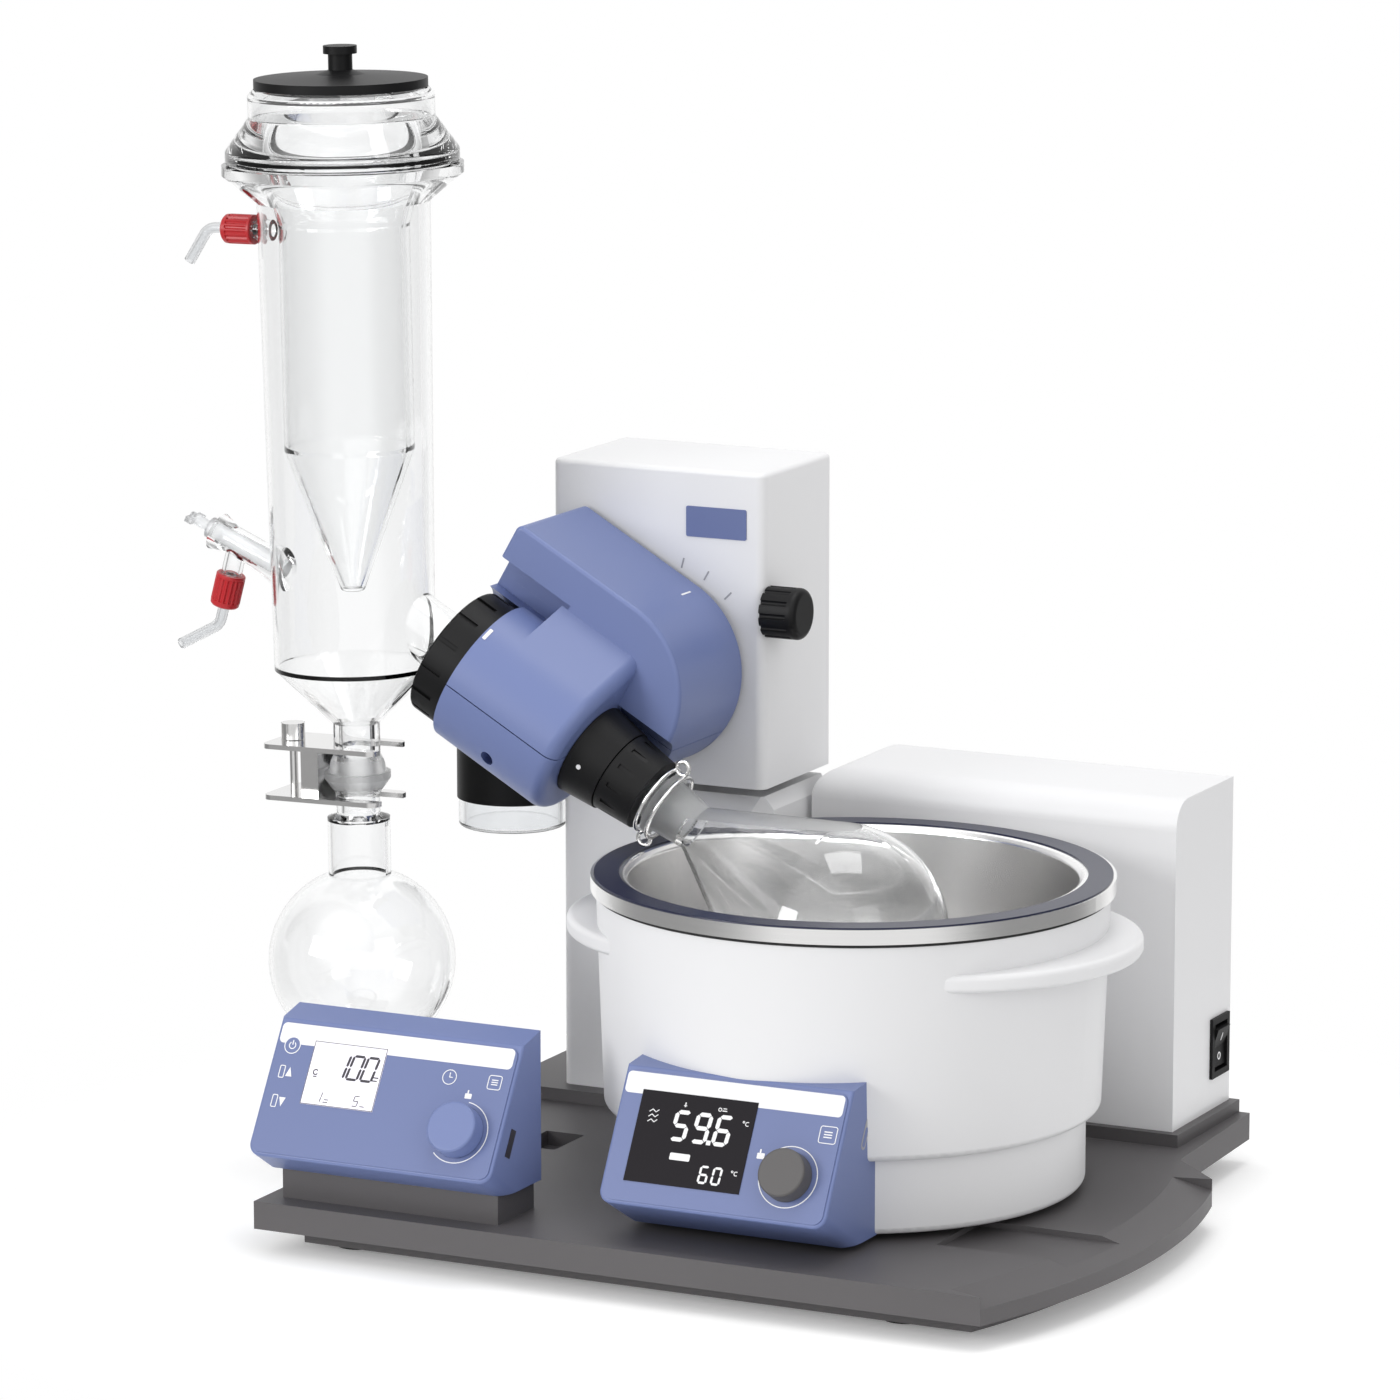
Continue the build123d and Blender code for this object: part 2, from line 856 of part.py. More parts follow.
# Electronics housing with soft front and left top edges, a switch opening and an inlet opening
with BuildPart() as housing:
    block((housing_left, housing_right), (housing_front, housing_back), (plinth_top, housing_top))
    top_edges = housing.faces().sort_by(Axis.Z)[-1].edges()
    soft = [top_edges.sort_by(Axis.Y)[0], top_edges.sort_by(Axis.X)[0]]
    fillet(soft, housing_round)
    block(
        (housing_left + housing_wall, housing_right - housing_wall),
        (housing_front + housing_wall, housing_back - housing_wall),
        (plinth_top, housing_top - housing_round),
        mode=Mode.SUBTRACT,
    )
    block(
        (housing_right - housing_wall, housing_right),
        (switch_y - switch_width / 2, switch_y + switch_width / 2),
        (switch_z - switch_height / 2, switch_z + switch_height / 2),
        mode=Mode.SUBTRACT,
    )
    block(
        (inlet_x - inlet_width / 2, inlet_x + inlet_width / 2),
        (housing_back - housing_wall, housing_back),
        (inlet_z - inlet_height / 2, inlet_z + inlet_height / 2),
        mode=Mode.SUBTRACT,
    )
finish(housing, "housing")

# Switch frame with a pocket for the rocker and holes for its pivot pins
rocker_width = switch_width - switch_rim * 2 - run_gap * 2
rocker_height = switch_height - switch_rim * 2 - run_gap * 2
rocker_x = housing_right - switch_rim
with BuildPart() as switch_frame:
    block(
        (housing_right - switch_depth, housing_right),
        (switch_y - switch_width / 2, switch_y + switch_width / 2),
        (switch_z - switch_height / 2, switch_z + switch_height / 2),
    )
    block(
        (housing_right, housing_right + switch_rim),
        (switch_y - switch_width / 2 - switch_rim, switch_y + switch_width / 2 + switch_rim),
        (switch_z - switch_height / 2 - switch_rim, switch_z + switch_height / 2 + switch_rim),
    )
    block(
        (housing_right - switch_depth + switch_rim, housing_right + switch_rim),
        (switch_y - switch_width / 2 + switch_rim, switch_y + switch_width / 2 - switch_rim),
        (switch_z - switch_height / 2 + switch_rim, switch_z + switch_height / 2 - switch_rim),
        mode=Mode.SUBTRACT,
    )
    rod(
        Plane(origin=(rocker_x, switch_y - switch_width / 2, switch_z), z_dir=(0, 1, 0)),
        rocker_pin_radius + fit_gap,
        switch_width,
        mode=Mode.SUBTRACT,
    )
finish(switch_frame, "switch_frame")

# Rocker on two pivot pins, hollow-faced, resting with its lower half pressed in
with BuildPart() as rocker:
    lean = radians(rocker_swing)
    rocker_plane = Plane(
        origin=(rocker_x, switch_y - rocker_width / 2, switch_z),
        x_dir=(cos(lean), 0, -sin(lean)),
        z_dir=(0, 1, 0),
    )
    half = rocker_height / 2 - switch_rim
    rod(
        Plane(origin=(rocker_x, switch_y - rocker_width / 2 - rocker_pin_reach, switch_z), z_dir=(0, 1, 0)),
        rocker_pin_radius,
        rocker_width + rocker_pin_reach * 2,
    )
    with BuildSketch(rocker_plane):
        with BuildLine():
            Polyline(
                (-rocker_back, -half),
                (rocker_proud, -half),
                (rocker_waist, 0),
                (rocker_proud, half),
                (-rocker_back, half),
                close=True,
            )
        make_face()
    extrude(amount=rocker_width)
finish(rocker, "rocker")

# Three-pin mains inlet in the back wall
with BuildPart() as mains_inlet:
    block(
        (inlet_x - inlet_width / 2, inlet_x + inlet_width / 2),
        (housing_back - inlet_depth, housing_back),
        (inlet_z - inlet_height / 2, inlet_z + inlet_height / 2),
    )
    block(
        (inlet_x - inlet_width / 2 - inlet_rim, inlet_x + inlet_width / 2 + inlet_rim),
        (housing_back, housing_back + inlet_rim / 2),
        (inlet_z - inlet_height / 2 - inlet_rim, inlet_z + inlet_height / 2 + inlet_rim),
    )
    block(
        (inlet_x - inlet_width / 2 + inlet_rim, inlet_x + inlet_width / 2 - inlet_rim),
        (housing_back - inlet_depth + inlet_rim, housing_back + inlet_rim / 2),
        (inlet_z - inlet_height / 2 + inlet_rim, inlet_z + inlet_height / 2 - inlet_rim),
        mode=Mode.SUBTRACT,
    )
    for step, rise in ((-1, -1), (0, 1), (1, -1)):
        pin_x = inlet_x + step * pin_pitch
        pin_z = inlet_z + rise * pin_rise
        block(
            (pin_x - pin_width / 2, pin_x + pin_width / 2),
            (housing_back - inlet_depth, housing_back - pin_recess),
            (pin_z - pin_height / 2, pin_z + pin_height / 2),
        )
finish(mains_inlet, "mains_inlet")

# Circuit board standing on the plinth inside the housing
with BuildPart() as circuit_board:
    board_y = housing_front + housing_wall + board_standoff
    block(
        (housing_left + housing_wall + board_standoff, inlet_x - inlet_width),
        (board_y, board_y + board_thickness),
        (plinth_top, housing_top - housing_round - board_standoff),
    )
finish(circuit_board, "circuit_board")


def panel_outline(y, z, tilt, length, chin, depth, rise, floor):
    # Side outline of a control panel, counter-clockwise, from the foot of its face
    slope = radians(tilt)
    top = (y + length * sin(slope), z + length * cos(slope))
    return [
        (y, z),
        (y + chin * cos(slope), floor),
        (top[0] + depth, floor),
        (top[0] + depth, top[1] + rise),
        top,
    ]


# Drive control pod on its platform
pod_centre = (pod_left + pod_right) / 2
pod_face_y = platform_front - pod_chin * cos(radians(pod_tilt))
pod_face_z = platform_top + pod_chin * sin(radians(pod_tilt))
pod_face = slanted_face(pod_centre, pod_face_y, pod_face_z, pod_tilt)
pod_points = panel_outline(
    pod_face_y, pod_face_z, pod_tilt, pod_face_length, pod_chin, pod_top_depth, pod_top_rise, platform_top
)
with BuildPart() as pod_shell:
    with BuildSketch(Plane.YZ.offset(pod_left)):
        with BuildLine():
            Polyline(*pod_points, close=True)
        make_face()
    extrude(amount=pod_right - pod_left)
    fillet(pod_shell.edges().filter_by(Axis((0, 0, 0), pod_face.z_dir)), panel_corner)
    fillet(pod_shell.faces().sort_by(Axis((0, 0, 0), pod_face.z_dir))[-1].edges(), panel_edge)
    with BuildSketch(Plane.YZ.offset(pod_left + pod_wall)):
        with BuildLine():
            Polyline(*pod_points, close=True)
        make_face()
        offset(amount=-pod_wall, mode=Mode.REPLACE)
    extrude(amount=pod_right - pod_left - pod_wall * 2, mode=Mode.SUBTRACT)
    rod(
        on_face(pod_face, pod_knob_x, pod_knob_base, -pod_wall),
        knob_shaft_radius + fit_gap,
        pod_wall,
        mode=Mode.SUBTRACT,
    )
finish(pod_shell, "pod_shell")


def keypad_sheet(plane, width, length, window, knob):
    # Bare face sheet with a display window and a hole for the knob's shaft
    with BuildPart() as sheet:
        with BuildSketch(plane):
            with Locations((0, length / 2)):
                RectangleRounded(width - keypad_margin * 2, length - keypad_margin * 2, keypad_corner)
            with Locations((window[0], window[1] + window[3] / 2)):
                Rectangle(window[2], window[3], mode=Mode.SUBTRACT)
            with Locations(knob):
                Circle(knob_shaft_radius + fit_gap, mode=Mode.SUBTRACT)
        extrude(amount=keypad_thickness)
    return sheet


def display_sheet(plane, window):
    # Display pane filling the window of a face sheet
    with BuildPart() as pane:
        with BuildSketch(plane):
            with Locations((window[0], window[1] + window[3] / 2)):
                Rectangle(window[2], window[3])
        extrude(amount=display_thickness)
    return pane


def turning_knob(plane, at, radius):
    # Round knob on a shaft that runs through the face
    with BuildPart() as knob:
        base = on_face(plane, *at, keypad_thickness + run_gap)
        with BuildSketch(base):
            Circle(radius)
        extrude(amount=knob_height, taper=knob_draft)
        rims = knob.edges().filter_by(GeomType.CIRCLE)
        fillet(rims.sort_by(Axis(base.origin, base.z_dir))[-1], knob_round)
        with BuildSketch(on_face(plane, *at, -knob_shaft_length)):
            Circle(knob_shaft_radius)
        extrude(amount=knob_shaft_length + keypad_thickness + run_gap)
    return knob


pod_window = (pod_display_x, pod_display_base, pod_display_width, pod_display_height)
pod_knob_at = (pod_knob_x, pod_knob_base)
pod_keypad = keypad_sheet(pod_face, pod_right - pod_left, pod_face_length, pod_window, pod_knob_at)
finish(pod_keypad, "pod_keypad")
pod_display = display_sheet(pod_face, pod_window)
finish(pod_display, "pod_display")
pod_knob = turning_knob(pod_face, pod_knob_at, pod_knob_radius)
finish(pod_knob, "pod_knob")

# Outer form of the bath, used for its shell and for the panel that fits against it
with BuildPart() as bath_form:
    with BuildSketch(bath_section) as bath_profile:
        with BuildLine():
            Polyline(
                (0, bath_bottom),
                (bath_base_radius, bath_bottom),
                (bath_base_radius, bath_step_z),
                (bath_step_radius, bath_step_z),
                (bath_top_radius, bath_seat_z),
                (0, bath_seat_z),
                close=True,
            )
        make_face()
        bath_levels = bath_profile.vertices().group_by(Axis.Y)
        fillet([bath_levels[0].sort_by(Axis.X)[-1], bath_levels[1].sort_by(Axis.X)[-1]], bath_round)
    revolve(axis=bath_axis)

# Bath shell with crescent handles
with BuildPart() as bath_shell:
    add(bath_form.part)
    for side in (-1, 1):
        with BuildSketch(Plane.XY.offset(handle_z)):
            with Locations((bath_x + side * handle_offset, bath_y)):
                Circle(handle_radius)
        extrude(amount=handle_thickness)
    handle_edges = bath_shell.edges().filter_by(GeomType.CIRCLE)
    handle_edges = handle_edges.filter_by(lambda edge: abs(edge.radius - handle_radius) < fit_gap)
    fillet(handle_edges, handle_round)
    with BuildSketch(bath_section):
        with BuildLine():
            Polyline(
                (0, bath_bottom + bath_wall),
                (bath_base_radius - bath_wall, bath_bottom + bath_wall),
                (bath_base_radius - bath_wall, bath_step_z + bath_wall),
                (bath_step_radius - bath_wall, bath_step_z + bath_wall),
                (bath_top_radius - bath_wall, bath_seat_z),
                (0, bath_seat_z),
                close=True,
            )
        make_face()
    revolve(axis=bath_axis, mode=Mode.SUBTRACT)
finish(bath_shell, "bath_shell")

# Stainless pot hung in the shell by its broad flange and skirt
with BuildPart() as bath_pot:
    with BuildSketch(bath_section):
        with BuildLine():
            pot_path = FilletPolyline(
                (0, pot_floor_z),
                (pot_floor_radius, pot_floor_z),
                (pot_top_radius, bath_seat_z - ring_margin),
                (rim_inner_radius, bath_seat_z),
                (rim_radius - pot_wall, bath_seat_z),
                radius=(pot_corner, ring_margin / 2, ring_margin / 2),
            )
            offset(pot_path, amount=pot_wall, side=Side.LEFT)
        make_face()
    revolve(axis=bath_axis)
    with BuildSketch(bath_section):
        with Locations(((rim_radius + bath_top_radius) / 2, bath_rim_z - rim_skirt / 2)):
            Rectangle(rim_radius - bath_top_radius - fit_gap * 2, rim_skirt)
    revolve(axis=bath_axis)
finish(bath_pot, "bath_pot")

# Dark ring on the flange of the pot
with BuildPart() as pot_ring:
    with BuildSketch(Plane.XY.offset(bath_rim_z)):
        with Locations((bath_x, bath_y)):
            Circle(rim_radius - ring_margin)
            Circle(rim_inner_radius + ring_margin, mode=Mode.SUBTRACT)
    extrude(amount=ring_thickness)
finish(pot_ring, "pot_ring")

# Heating ring under the pot
with BuildPart() as heater:
    with BuildSketch(Plane.XY.offset(pot_floor_z - heater_thickness)):
        with Locations((bath_x, bath_y)):
            Circle(pot_floor_radius - pot_corner)
            Circle(heater_inner, mode=Mode.SUBTRACT)
    extrude(amount=heater_thickness)
finish(heater, "heater")

# Rubber feet of the bath
with BuildPart() as bath_feet:
    with Locations(Plane((bath_x, bath_y, plate_top))):
        with PolarLocations(bath_foot_circle, bath_foot_count, start_angle=180 / bath_foot_count):
            Cylinder(
                bath_foot_radius,
                bath_foot_height,
                align=(Align.CENTER, Align.CENTER, Align.MIN),
            )
finish(bath_feet, "bath_feet")

# Control panel on the front of the bath
panel_centre = bath_x + panel_shift
panel_face_z = bath_bottom + panel_chin * sin(radians(panel_tilt))
panel_face_front = bath_y - bath_base_radius - panel_stand
panel_face = slanted_face(panel_centre, panel_face_front, panel_face_z, panel_tilt)
panel_points = panel_outline(
    panel_face_front,
    panel_face_z,
    panel_tilt,
    panel_face_length,
    panel_chin,
    panel_top_depth + panel_tuck,
    panel_top_rise,
    bath_bottom,
)
with BuildPart() as bath_panel:
    with BuildSketch(Plane.YZ.offset(panel_centre - panel_width / 2)):
        with BuildLine():
            Polyline(*panel_points, close=True)
        make_face()
    extrude(amount=panel_width)
    fillet(bath_panel.edges().filter_by(Axis((0, 0, 0), panel_face.z_dir)), panel_corner)
    fillet(bath_panel.faces().sort_by(Axis((0, 0, 0), panel_face.z_dir))[-1].edges(), panel_edge)
    with BuildSketch(Plane.YZ.offset(panel_centre - panel_width / 2 + panel_wall)):
        with BuildLine():
            Polyline(*panel_points, close=True)
        make_face()
        offset(amount=-panel_wall, mode=Mode.REPLACE)
    extrude(amount=panel_width - panel_wall * 2, mode=Mode.SUBTRACT)
    add(bath_form.part, mode=Mode.SUBTRACT)
    rod(
        on_face(panel_face, panel_knob_x, panel_knob_base, -panel_wall),
        knob_shaft_radius + fit_gap,
        panel_wall,
        mode=Mode.SUBTRACT,
    )
finish(bath_panel, "bath_panel")

panel_window = (panel_display_x, panel_display_base, panel_display_width, panel_display_height)
panel_knob_at = (panel_knob_x, panel_knob_base)
bath_keypad = keypad_sheet(panel_face, panel_width, panel_face_length, panel_window, panel_knob_at)
finish(bath_keypad, "bath_keypad")
bath_display = display_sheet(panel_face, panel_window)
finish(bath_display, "bath_display")
bath_knob = turning_knob(panel_face, panel_knob_at, panel_knob_radius)
finish(bath_knob, "bath_knob")


def lower_region(drop):
    # Region of the head below its stepped seam, lowered by drop
    size = head_length * 3
    with BuildPart() as region:
        with BuildSketch(head_face(head_back)):
            with Locations((0, seam_slab - drop - size / 2)):
                Rectangle(size, size)
        extrude(amount=head_depth)
        with BuildSketch(head_face(head_front)):
            with Locations((0, -rotor_drop - drop - size / 2)):
                Rectangle(size, size)
        extrude(amount=size)
    return region.part


def belt_hull(extra):
    # Closed outline round both pulleys, grown by extra, as a face on the belt's middle plane
    with BuildSketch() as hull:
        Circle(hub_pulley_radius + extra)
        with Locations((motor_y - rotor_y, motor_z + rotor_drop)):
            Circle(motor_pulley_radius + extra)
        make_hull()
    return hull.sketch


# Saddle that joins barrel and slab, its front edge rounded as the barrel's is
ridge = (head_front - rotor_y + head_round, saddle_top + rotor_drop)
touch_angle = atan2(ridge[1], ridge[0]) + acos(barrel_radius / hypot(*ridge))
touch = on_circle((0, 0), barrel_radius, touch_angle)
slab_axis = Axis(origin=head_point(0, 0, 0), direction=along)
rise_axis = Axis(origin=head_point(0, 0, 0), direction=upward)
with BuildPart() as saddle:
    with BuildSketch(rotor_face(notch_front)):
        with BuildLine():
            Polyline(ridge, touch, (0, 0), (ridge[0], 0), close=True)
        make_face()
    extrude(amount=barrel_front - notch_front)
    saddle_front = saddle.faces().sort_by(slab_axis)[-1]
    fillet(saddle_front.edges().sort_by(rise_axis)[-1], barrel_round)

# Whole head casting: slab with a round end, rotor barrel, saddle between them, spigot and bores
with BuildPart() as head_form:
    with BuildSketch(head_face(head_back)):
        with Locations((-head_length / 2, 0)):
            Rectangle(head_length, head_radius * 2)
        Circle(head_radius)
    extrude(amount=head_depth)
    rear_corners = head_form.edges().filter_by(Axis.Y).sort_by(slab_axis)
    fillet(rear_corners[:2], head_round)
    fillet(head_form.faces().sort_by(Axis.Y)[0].edges(), head_round / 2)
    with BuildSketch(rotor_section) as barrel_profile:
        with Locations(((barrel_rear + barrel_front) / 2, barrel_radius / 2)):
            Rectangle(barrel_front - barrel_rear, barrel_radius)
        barrel_corners = barrel_profile.vertices().group_by(Axis.Y)[-1]
        fillet(barrel_corners.sort_by(Axis.X)[-1], barrel_round)
    revolve(axis=rotor_axis)
    add(saddle.part)
    with BuildSketch(head_face(head_front + notch_depth)):
        with BuildLine():
            Polyline(
                (notch_rear - head_length, notch_bottom),
                (notch_front, notch_bottom),
                (notch_front + head_round, saddle_top),
                (notch_rear, saddle_top),
                (notch_rear - head_length, saddle_top),
                close=True,
            )
        make_face()
    extrude(amount=notch_depth, mode=Mode.SUBTRACT)
    rod(
        rotor_face(barrel_front),
        collar_rear_radius + relief_gap,
        head_length,
        mode=Mode.SUBTRACT,
    )
    rod(
        rotor_face(barrel_rear - head_length),
        union_radius + relief_gap,
        head_length,
        mode=Mode.SUBTRACT,
    )
    rod(rotor_face(barrel_rear - spigot_length), spigot_radius, spigot_length)
    rod(
        rotor_face(motor_front - motor_plate_thickness - motor_length, motor_y, motor_z),
        motor_radius,
        motor_length,
        mode=Mode.SUBTRACT,
    )
    rod(
        rotor_face(motor_front - motor_plate_thickness, motor_y, motor_z),
        motor_flange_radius,
        motor_plate_thickness,
        mode=Mode.SUBTRACT,
    )
    rod(
        head_face(head_back),
        pivot_flange_radius,
        head_wall + pivot_flange_thickness,
        mode=Mode.SUBTRACT,
    )
    rod(
        rotor_face(barrel_rear - spigot_length),
        hub_radius + hub_bore_gap,
        barrel_front - barrel_rear + spigot_length,
        mode=Mode.SUBTRACT,
    )
    for place in (rear_bearing, front_bearing):
        rod(rotor_face(place), bearing_radius, bearing_width, mode=Mode.SUBTRACT)
    with BuildSketch(rotor_face(belt_x - belt_width / 2 - belt_room / 2)):
        add(belt_hull(belt_room))
    extrude(amount=belt_width + belt_room, mode=Mode.SUBTRACT)
    with BuildSketch(head_face(rotor_y - barrel_radius / 2)):
        with Locations((notch_front / 2, -rotor_drop * 2)):
            Circle(guide_hole_radius)
    extrude(amount=barrel_radius, mode=Mode.SUBTRACT)

with BuildPart() as head_upper:
    add(head_form.part)
    add(lower_region(0), mode=Mode.SUBTRACT)
finish(head_upper, "head_upper")

with BuildPart() as head_lower:
    add(head_form.part)
    add(lower_region(seam_gap), mode=Mode.INTERSECT)
finish(head_lower, "head_lower")

# Pivot shaft with its flange in the head, brake disc and retaining collar in the tower
with BuildPart() as pivot_shaft:
    shaft_start = head_back - head_wall - pivot_flange_thickness
    rod(head_face(head_back), pivot_flange_radius, head_wall + pivot_flange_thickness)
    collar_front_y = pivot_plate_back + run_gap
    rod(
        head_face(collar_front_y + pivot_collar_thickness),
        pivot_shaft_radius,
        collar_front_y + pivot_collar_thickness - shaft_start,
    )
    rod(head_face(brake_back), brake_radius, brake_thickness)
    rod(
        head_face(collar_front_y + pivot_collar_thickness),
        pivot_collar_radius,
        pivot_collar_thickness,
    )
finish(pivot_shaft, "pivot_shaft")

# Drive motor with its round mounting flange
with BuildPart() as drive_motor:
    rod(
        rotor_face(motor_front - motor_plate_thickness - motor_length, motor_y, motor_z),
        motor_radius,
        motor_length,
    )
    rod(
        rotor_face(motor_front - motor_plate_thickness, motor_y, motor_z),
        motor_flange_radius,
        motor_plate_thickness,
    )
    rod(
        rotor_face(motor_front - motor_plate_thickness, motor_y, motor_z),
        motor_shaft_radius + fit_gap,
        motor_plate_thickness,
        mode=Mode.SUBTRACT,
    )
finish(drive_motor, "drive_motor")

# Small pulley on the motor's shaft
with BuildPart() as motor_pulley:
    rod(
        rotor_face(motor_front - motor_plate_thickness + run_gap, motor_y, motor_z),
        motor_shaft_radius,
        motor_plate_thickness + belt_room / 2,
    )
    rod(
        rotor_face(belt_x - belt_width / 2 - run_gap, motor_y, motor_z),
        motor_pulley_radius,
        belt_width + run_gap * 2,
    )
finish(motor_pulley, "motor_pulley")

# Drive belt round both pulleys
with BuildPart() as drive_belt:
    with BuildSketch(rotor_face(belt_x - belt_width / 2)):
        add(belt_hull(run_gap + belt_thickness))
        add(belt_hull(run_gap), mode=Mode.SUBTRACT)
    extrude(amount=belt_width)
finish(drive_belt, "drive_belt")

# Two rotor bearings
with BuildPart() as bearings:
    for place in (rear_bearing, front_bearing):
        rod(rotor_face(place), bearing_radius, bearing_width)
        rod(rotor_face(place), hub_radius + fit_gap, bearing_width, mode=Mode.SUBTRACT)
finish(bearings, "bearings")

# Hollow rotor hub
with BuildPart() as hub:
    rod(rotor_face(hub_rear), hub_radius, hub_front - hub_rear)
    rod(rotor_face(hub_rear), tube_radius, hub_front - hub_rear, mode=Mode.SUBTRACT)
finish(hub, "hub")

# Pulley with two lips on the hub
with BuildPart() as hub_pulley:
    lip_radius = hub_pulley_radius + belt_thickness
    for edge in (-1, 1):
        inner = belt_x + edge * (belt_width / 2 + run_gap)
        start = min(inner, inner + edge * pulley_lip)
        rod(rotor_face(start), lip_radius, pulley_lip)
    rod(rotor_face(belt_x - belt_width / 2 - run_gap), hub_pulley_radius, belt_width + run_gap * 2)
    rod(
        rotor_face(belt_x - belt_width / 2 - run_gap - pulley_lip),
        hub_radius,
        belt_width + run_gap * 2 + pulley_lip * 2,
        mode=Mode.SUBTRACT,
    )
finish(hub_pulley, "hub_pulley")

# Black collar at the front of the hub
collar_rear = barrel_front + face_gap
with BuildPart() as collar:
    taper(rotor_face(collar_rear), collar_rear_radius, collar_front_radius, collar_front - collar_rear)
    rod(rotor_face(collar_rear), hub_radius, collar_front - collar_rear, mode=Mode.SUBTRACT)
finish(collar, "collar")


def grooves(plane, radius, count, width, length):
    # Straight grip grooves round a turned piece, cut along its axis
    with Locations(plane):
        with PolarLocations(radius, count):
            Box(
                width,
                width,
                length,
                align=(Align.CENTER, Align.CENTER, Align.MIN),
                mode=Mode.SUBTRACT,
            )


# Ribbed flask nut that pushes the flask off the vapour tube
flask_nut_rear = collar_front + face_gap
with BuildPart() as flask_nut:
    taper(
        rotor_face(flask_nut_rear),
        flask_nut_rear_radius,
        flask_nut_front_radius,
        flask_nut_front - flask_nut_rear,
    )
    grooves(
        rotor_face(flask_nut_rear + flask_nut_lip / 2),
        flask_nut_rear_radius,
        flask_nut_ribs,
        flask_nut_groove,
        flask_nut_front - flask_nut_rear,
    )
    rod(
        rotor_face(flask_nut_rear),
        hub_radius + run_gap,
        flask_nut_front - flask_nut_rear - flask_nut_lip,
        mode=Mode.SUBTRACT,
    )
    rod(
        rotor_face(flask_nut_rear),
        tube_radius + run_gap * 2,
        flask_nut_front - flask_nut_rear,
        mode=Mode.SUBTRACT,
    )
finish(flask_nut, "flask_nut")

# Vapour tube with the ground cone that carries the flask
with BuildPart() as vapour_tube:
    rod(rotor_face(tube_rear), tube_radius, ground_front - tube_rear)
    taper(
        rotor_face(ground_rear), ground_rear_radius, ground_front_radius, ground_front - ground_rear
    )
    rod(rotor_face(tube_rear), tube_radius - tube_wall, ground_front - tube_rear, mode=Mode.SUBTRACT)
finish(vapour_tube, "vapour_tube")


def ground_radius(x):
    # Radius of the ground cone at x along the rotor
    share = (x - ground_rear) / (ground_front - ground_rear)
    return ground_rear_radius + (ground_front_radius - ground_rear_radius) * share


# Pear-shaped evaporating flask
with BuildPart() as flask:
    bulb = (flask_centre, 0)
    waist = (flask_waist, flask_waist_radius)
    inner_waist = (flask_waist, flask_waist_radius - glass_wall)
    outer_turn = tangent_angle(waist, bulb, flask_radius)
    inner_turn = tangent_angle(inner_waist, bulb, flask_radius - glass_wall)
    with BuildSketch(rotor_section):
        with BuildLine():
            Polyline(
                on_circle(bulb, flask_radius - glass_wall, inner_turn),
                inner_waist,
                (ground_front, ground_front_radius),
                (flask_mouth, ground_radius(flask_mouth)),
                (flask_mouth, flask_neck_radius),
                (flask_mouth + glass_wall / 2, flask_lip_radius),
                (flask_mouth + flask_lip_width - glass_wall / 2, flask_lip_radius),
                (flask_mouth + flask_lip_width, flask_neck_radius),
                waist,
                on_circle(bulb, flask_radius, outer_turn),
            )
            CenterArc(bulb, flask_radius, 0, degrees(outer_turn))
            Line((flask_centre + flask_radius, 0), (flask_centre + flask_radius - glass_wall, 0))
            CenterArc(bulb, flask_radius - glass_wall, 0, degrees(inner_turn))
        make_face()
    revolve(axis=rotor_axis)
finish(flask, "flask")

# Wire clip behind and before the flask's lip, with a loop on each side
with BuildPart() as flask_clip:
    wire_radius = flask_lip_radius + clip_wire
    ring_places = (flask_mouth - clip_wire, flask_mouth + flask_lip_width + clip_wire)
    for place in ring_places:
        with Locations(rotor_face(place)):
            Torus(wire_radius, clip_wire)
    for side in (-1, 1):
        loop_drop = -rotor_drop + side * (wire_radius + clip_loop_radius)
        with Locations(head_face(rotor_y)):
            with Locations((flask_mouth + flask_lip_width / 2, loop_drop)):
                Torus(clip_loop_radius, clip_wire)
finish(flask_clip, "flask_clip")

# Union nut that draws the condenser's port onto the spigot
union_front = barrel_rear - face_gap * 2
flange_rear = barrel_rear - spigot_length - seal_thickness - port_flange_thickness
with BuildPart() as union_nut:
    rod(rotor_face(union_rear), union_radius, union_front - union_rear)
    fillet(union_nut.edges().sort_by(slab_axis)[0], union_round)
    grooves(
        rotor_face(union_rear),
        union_radius,
        union_ribs,
        union_groove,
        union_front - union_rear - union_lip,
    )
    rod(
        rotor_face(flange_rear - run_gap),
        spigot_radius + run_gap,
        union_front - flange_rear + run_gap,
        mode=Mode.SUBTRACT,
    )
    rod(rotor_face(union_rear), port_radius + run_gap * 2, union_lip * 2, mode=Mode.SUBTRACT)
finish(union_nut, "union_nut")

# Seal between spigot and port, running on the vapour tube
with BuildPart() as rotor_seal:
    rod(rotor_face(flange_rear + port_flange_thickness), port_flange_radius, seal_thickness)
    rod(
        rotor_face(flange_rear + port_flange_thickness),
        tube_radius + fit_gap,
        seal_thickness,
        mode=Mode.SUBTRACT,
    )
finish(rotor_seal, "rotor_seal")

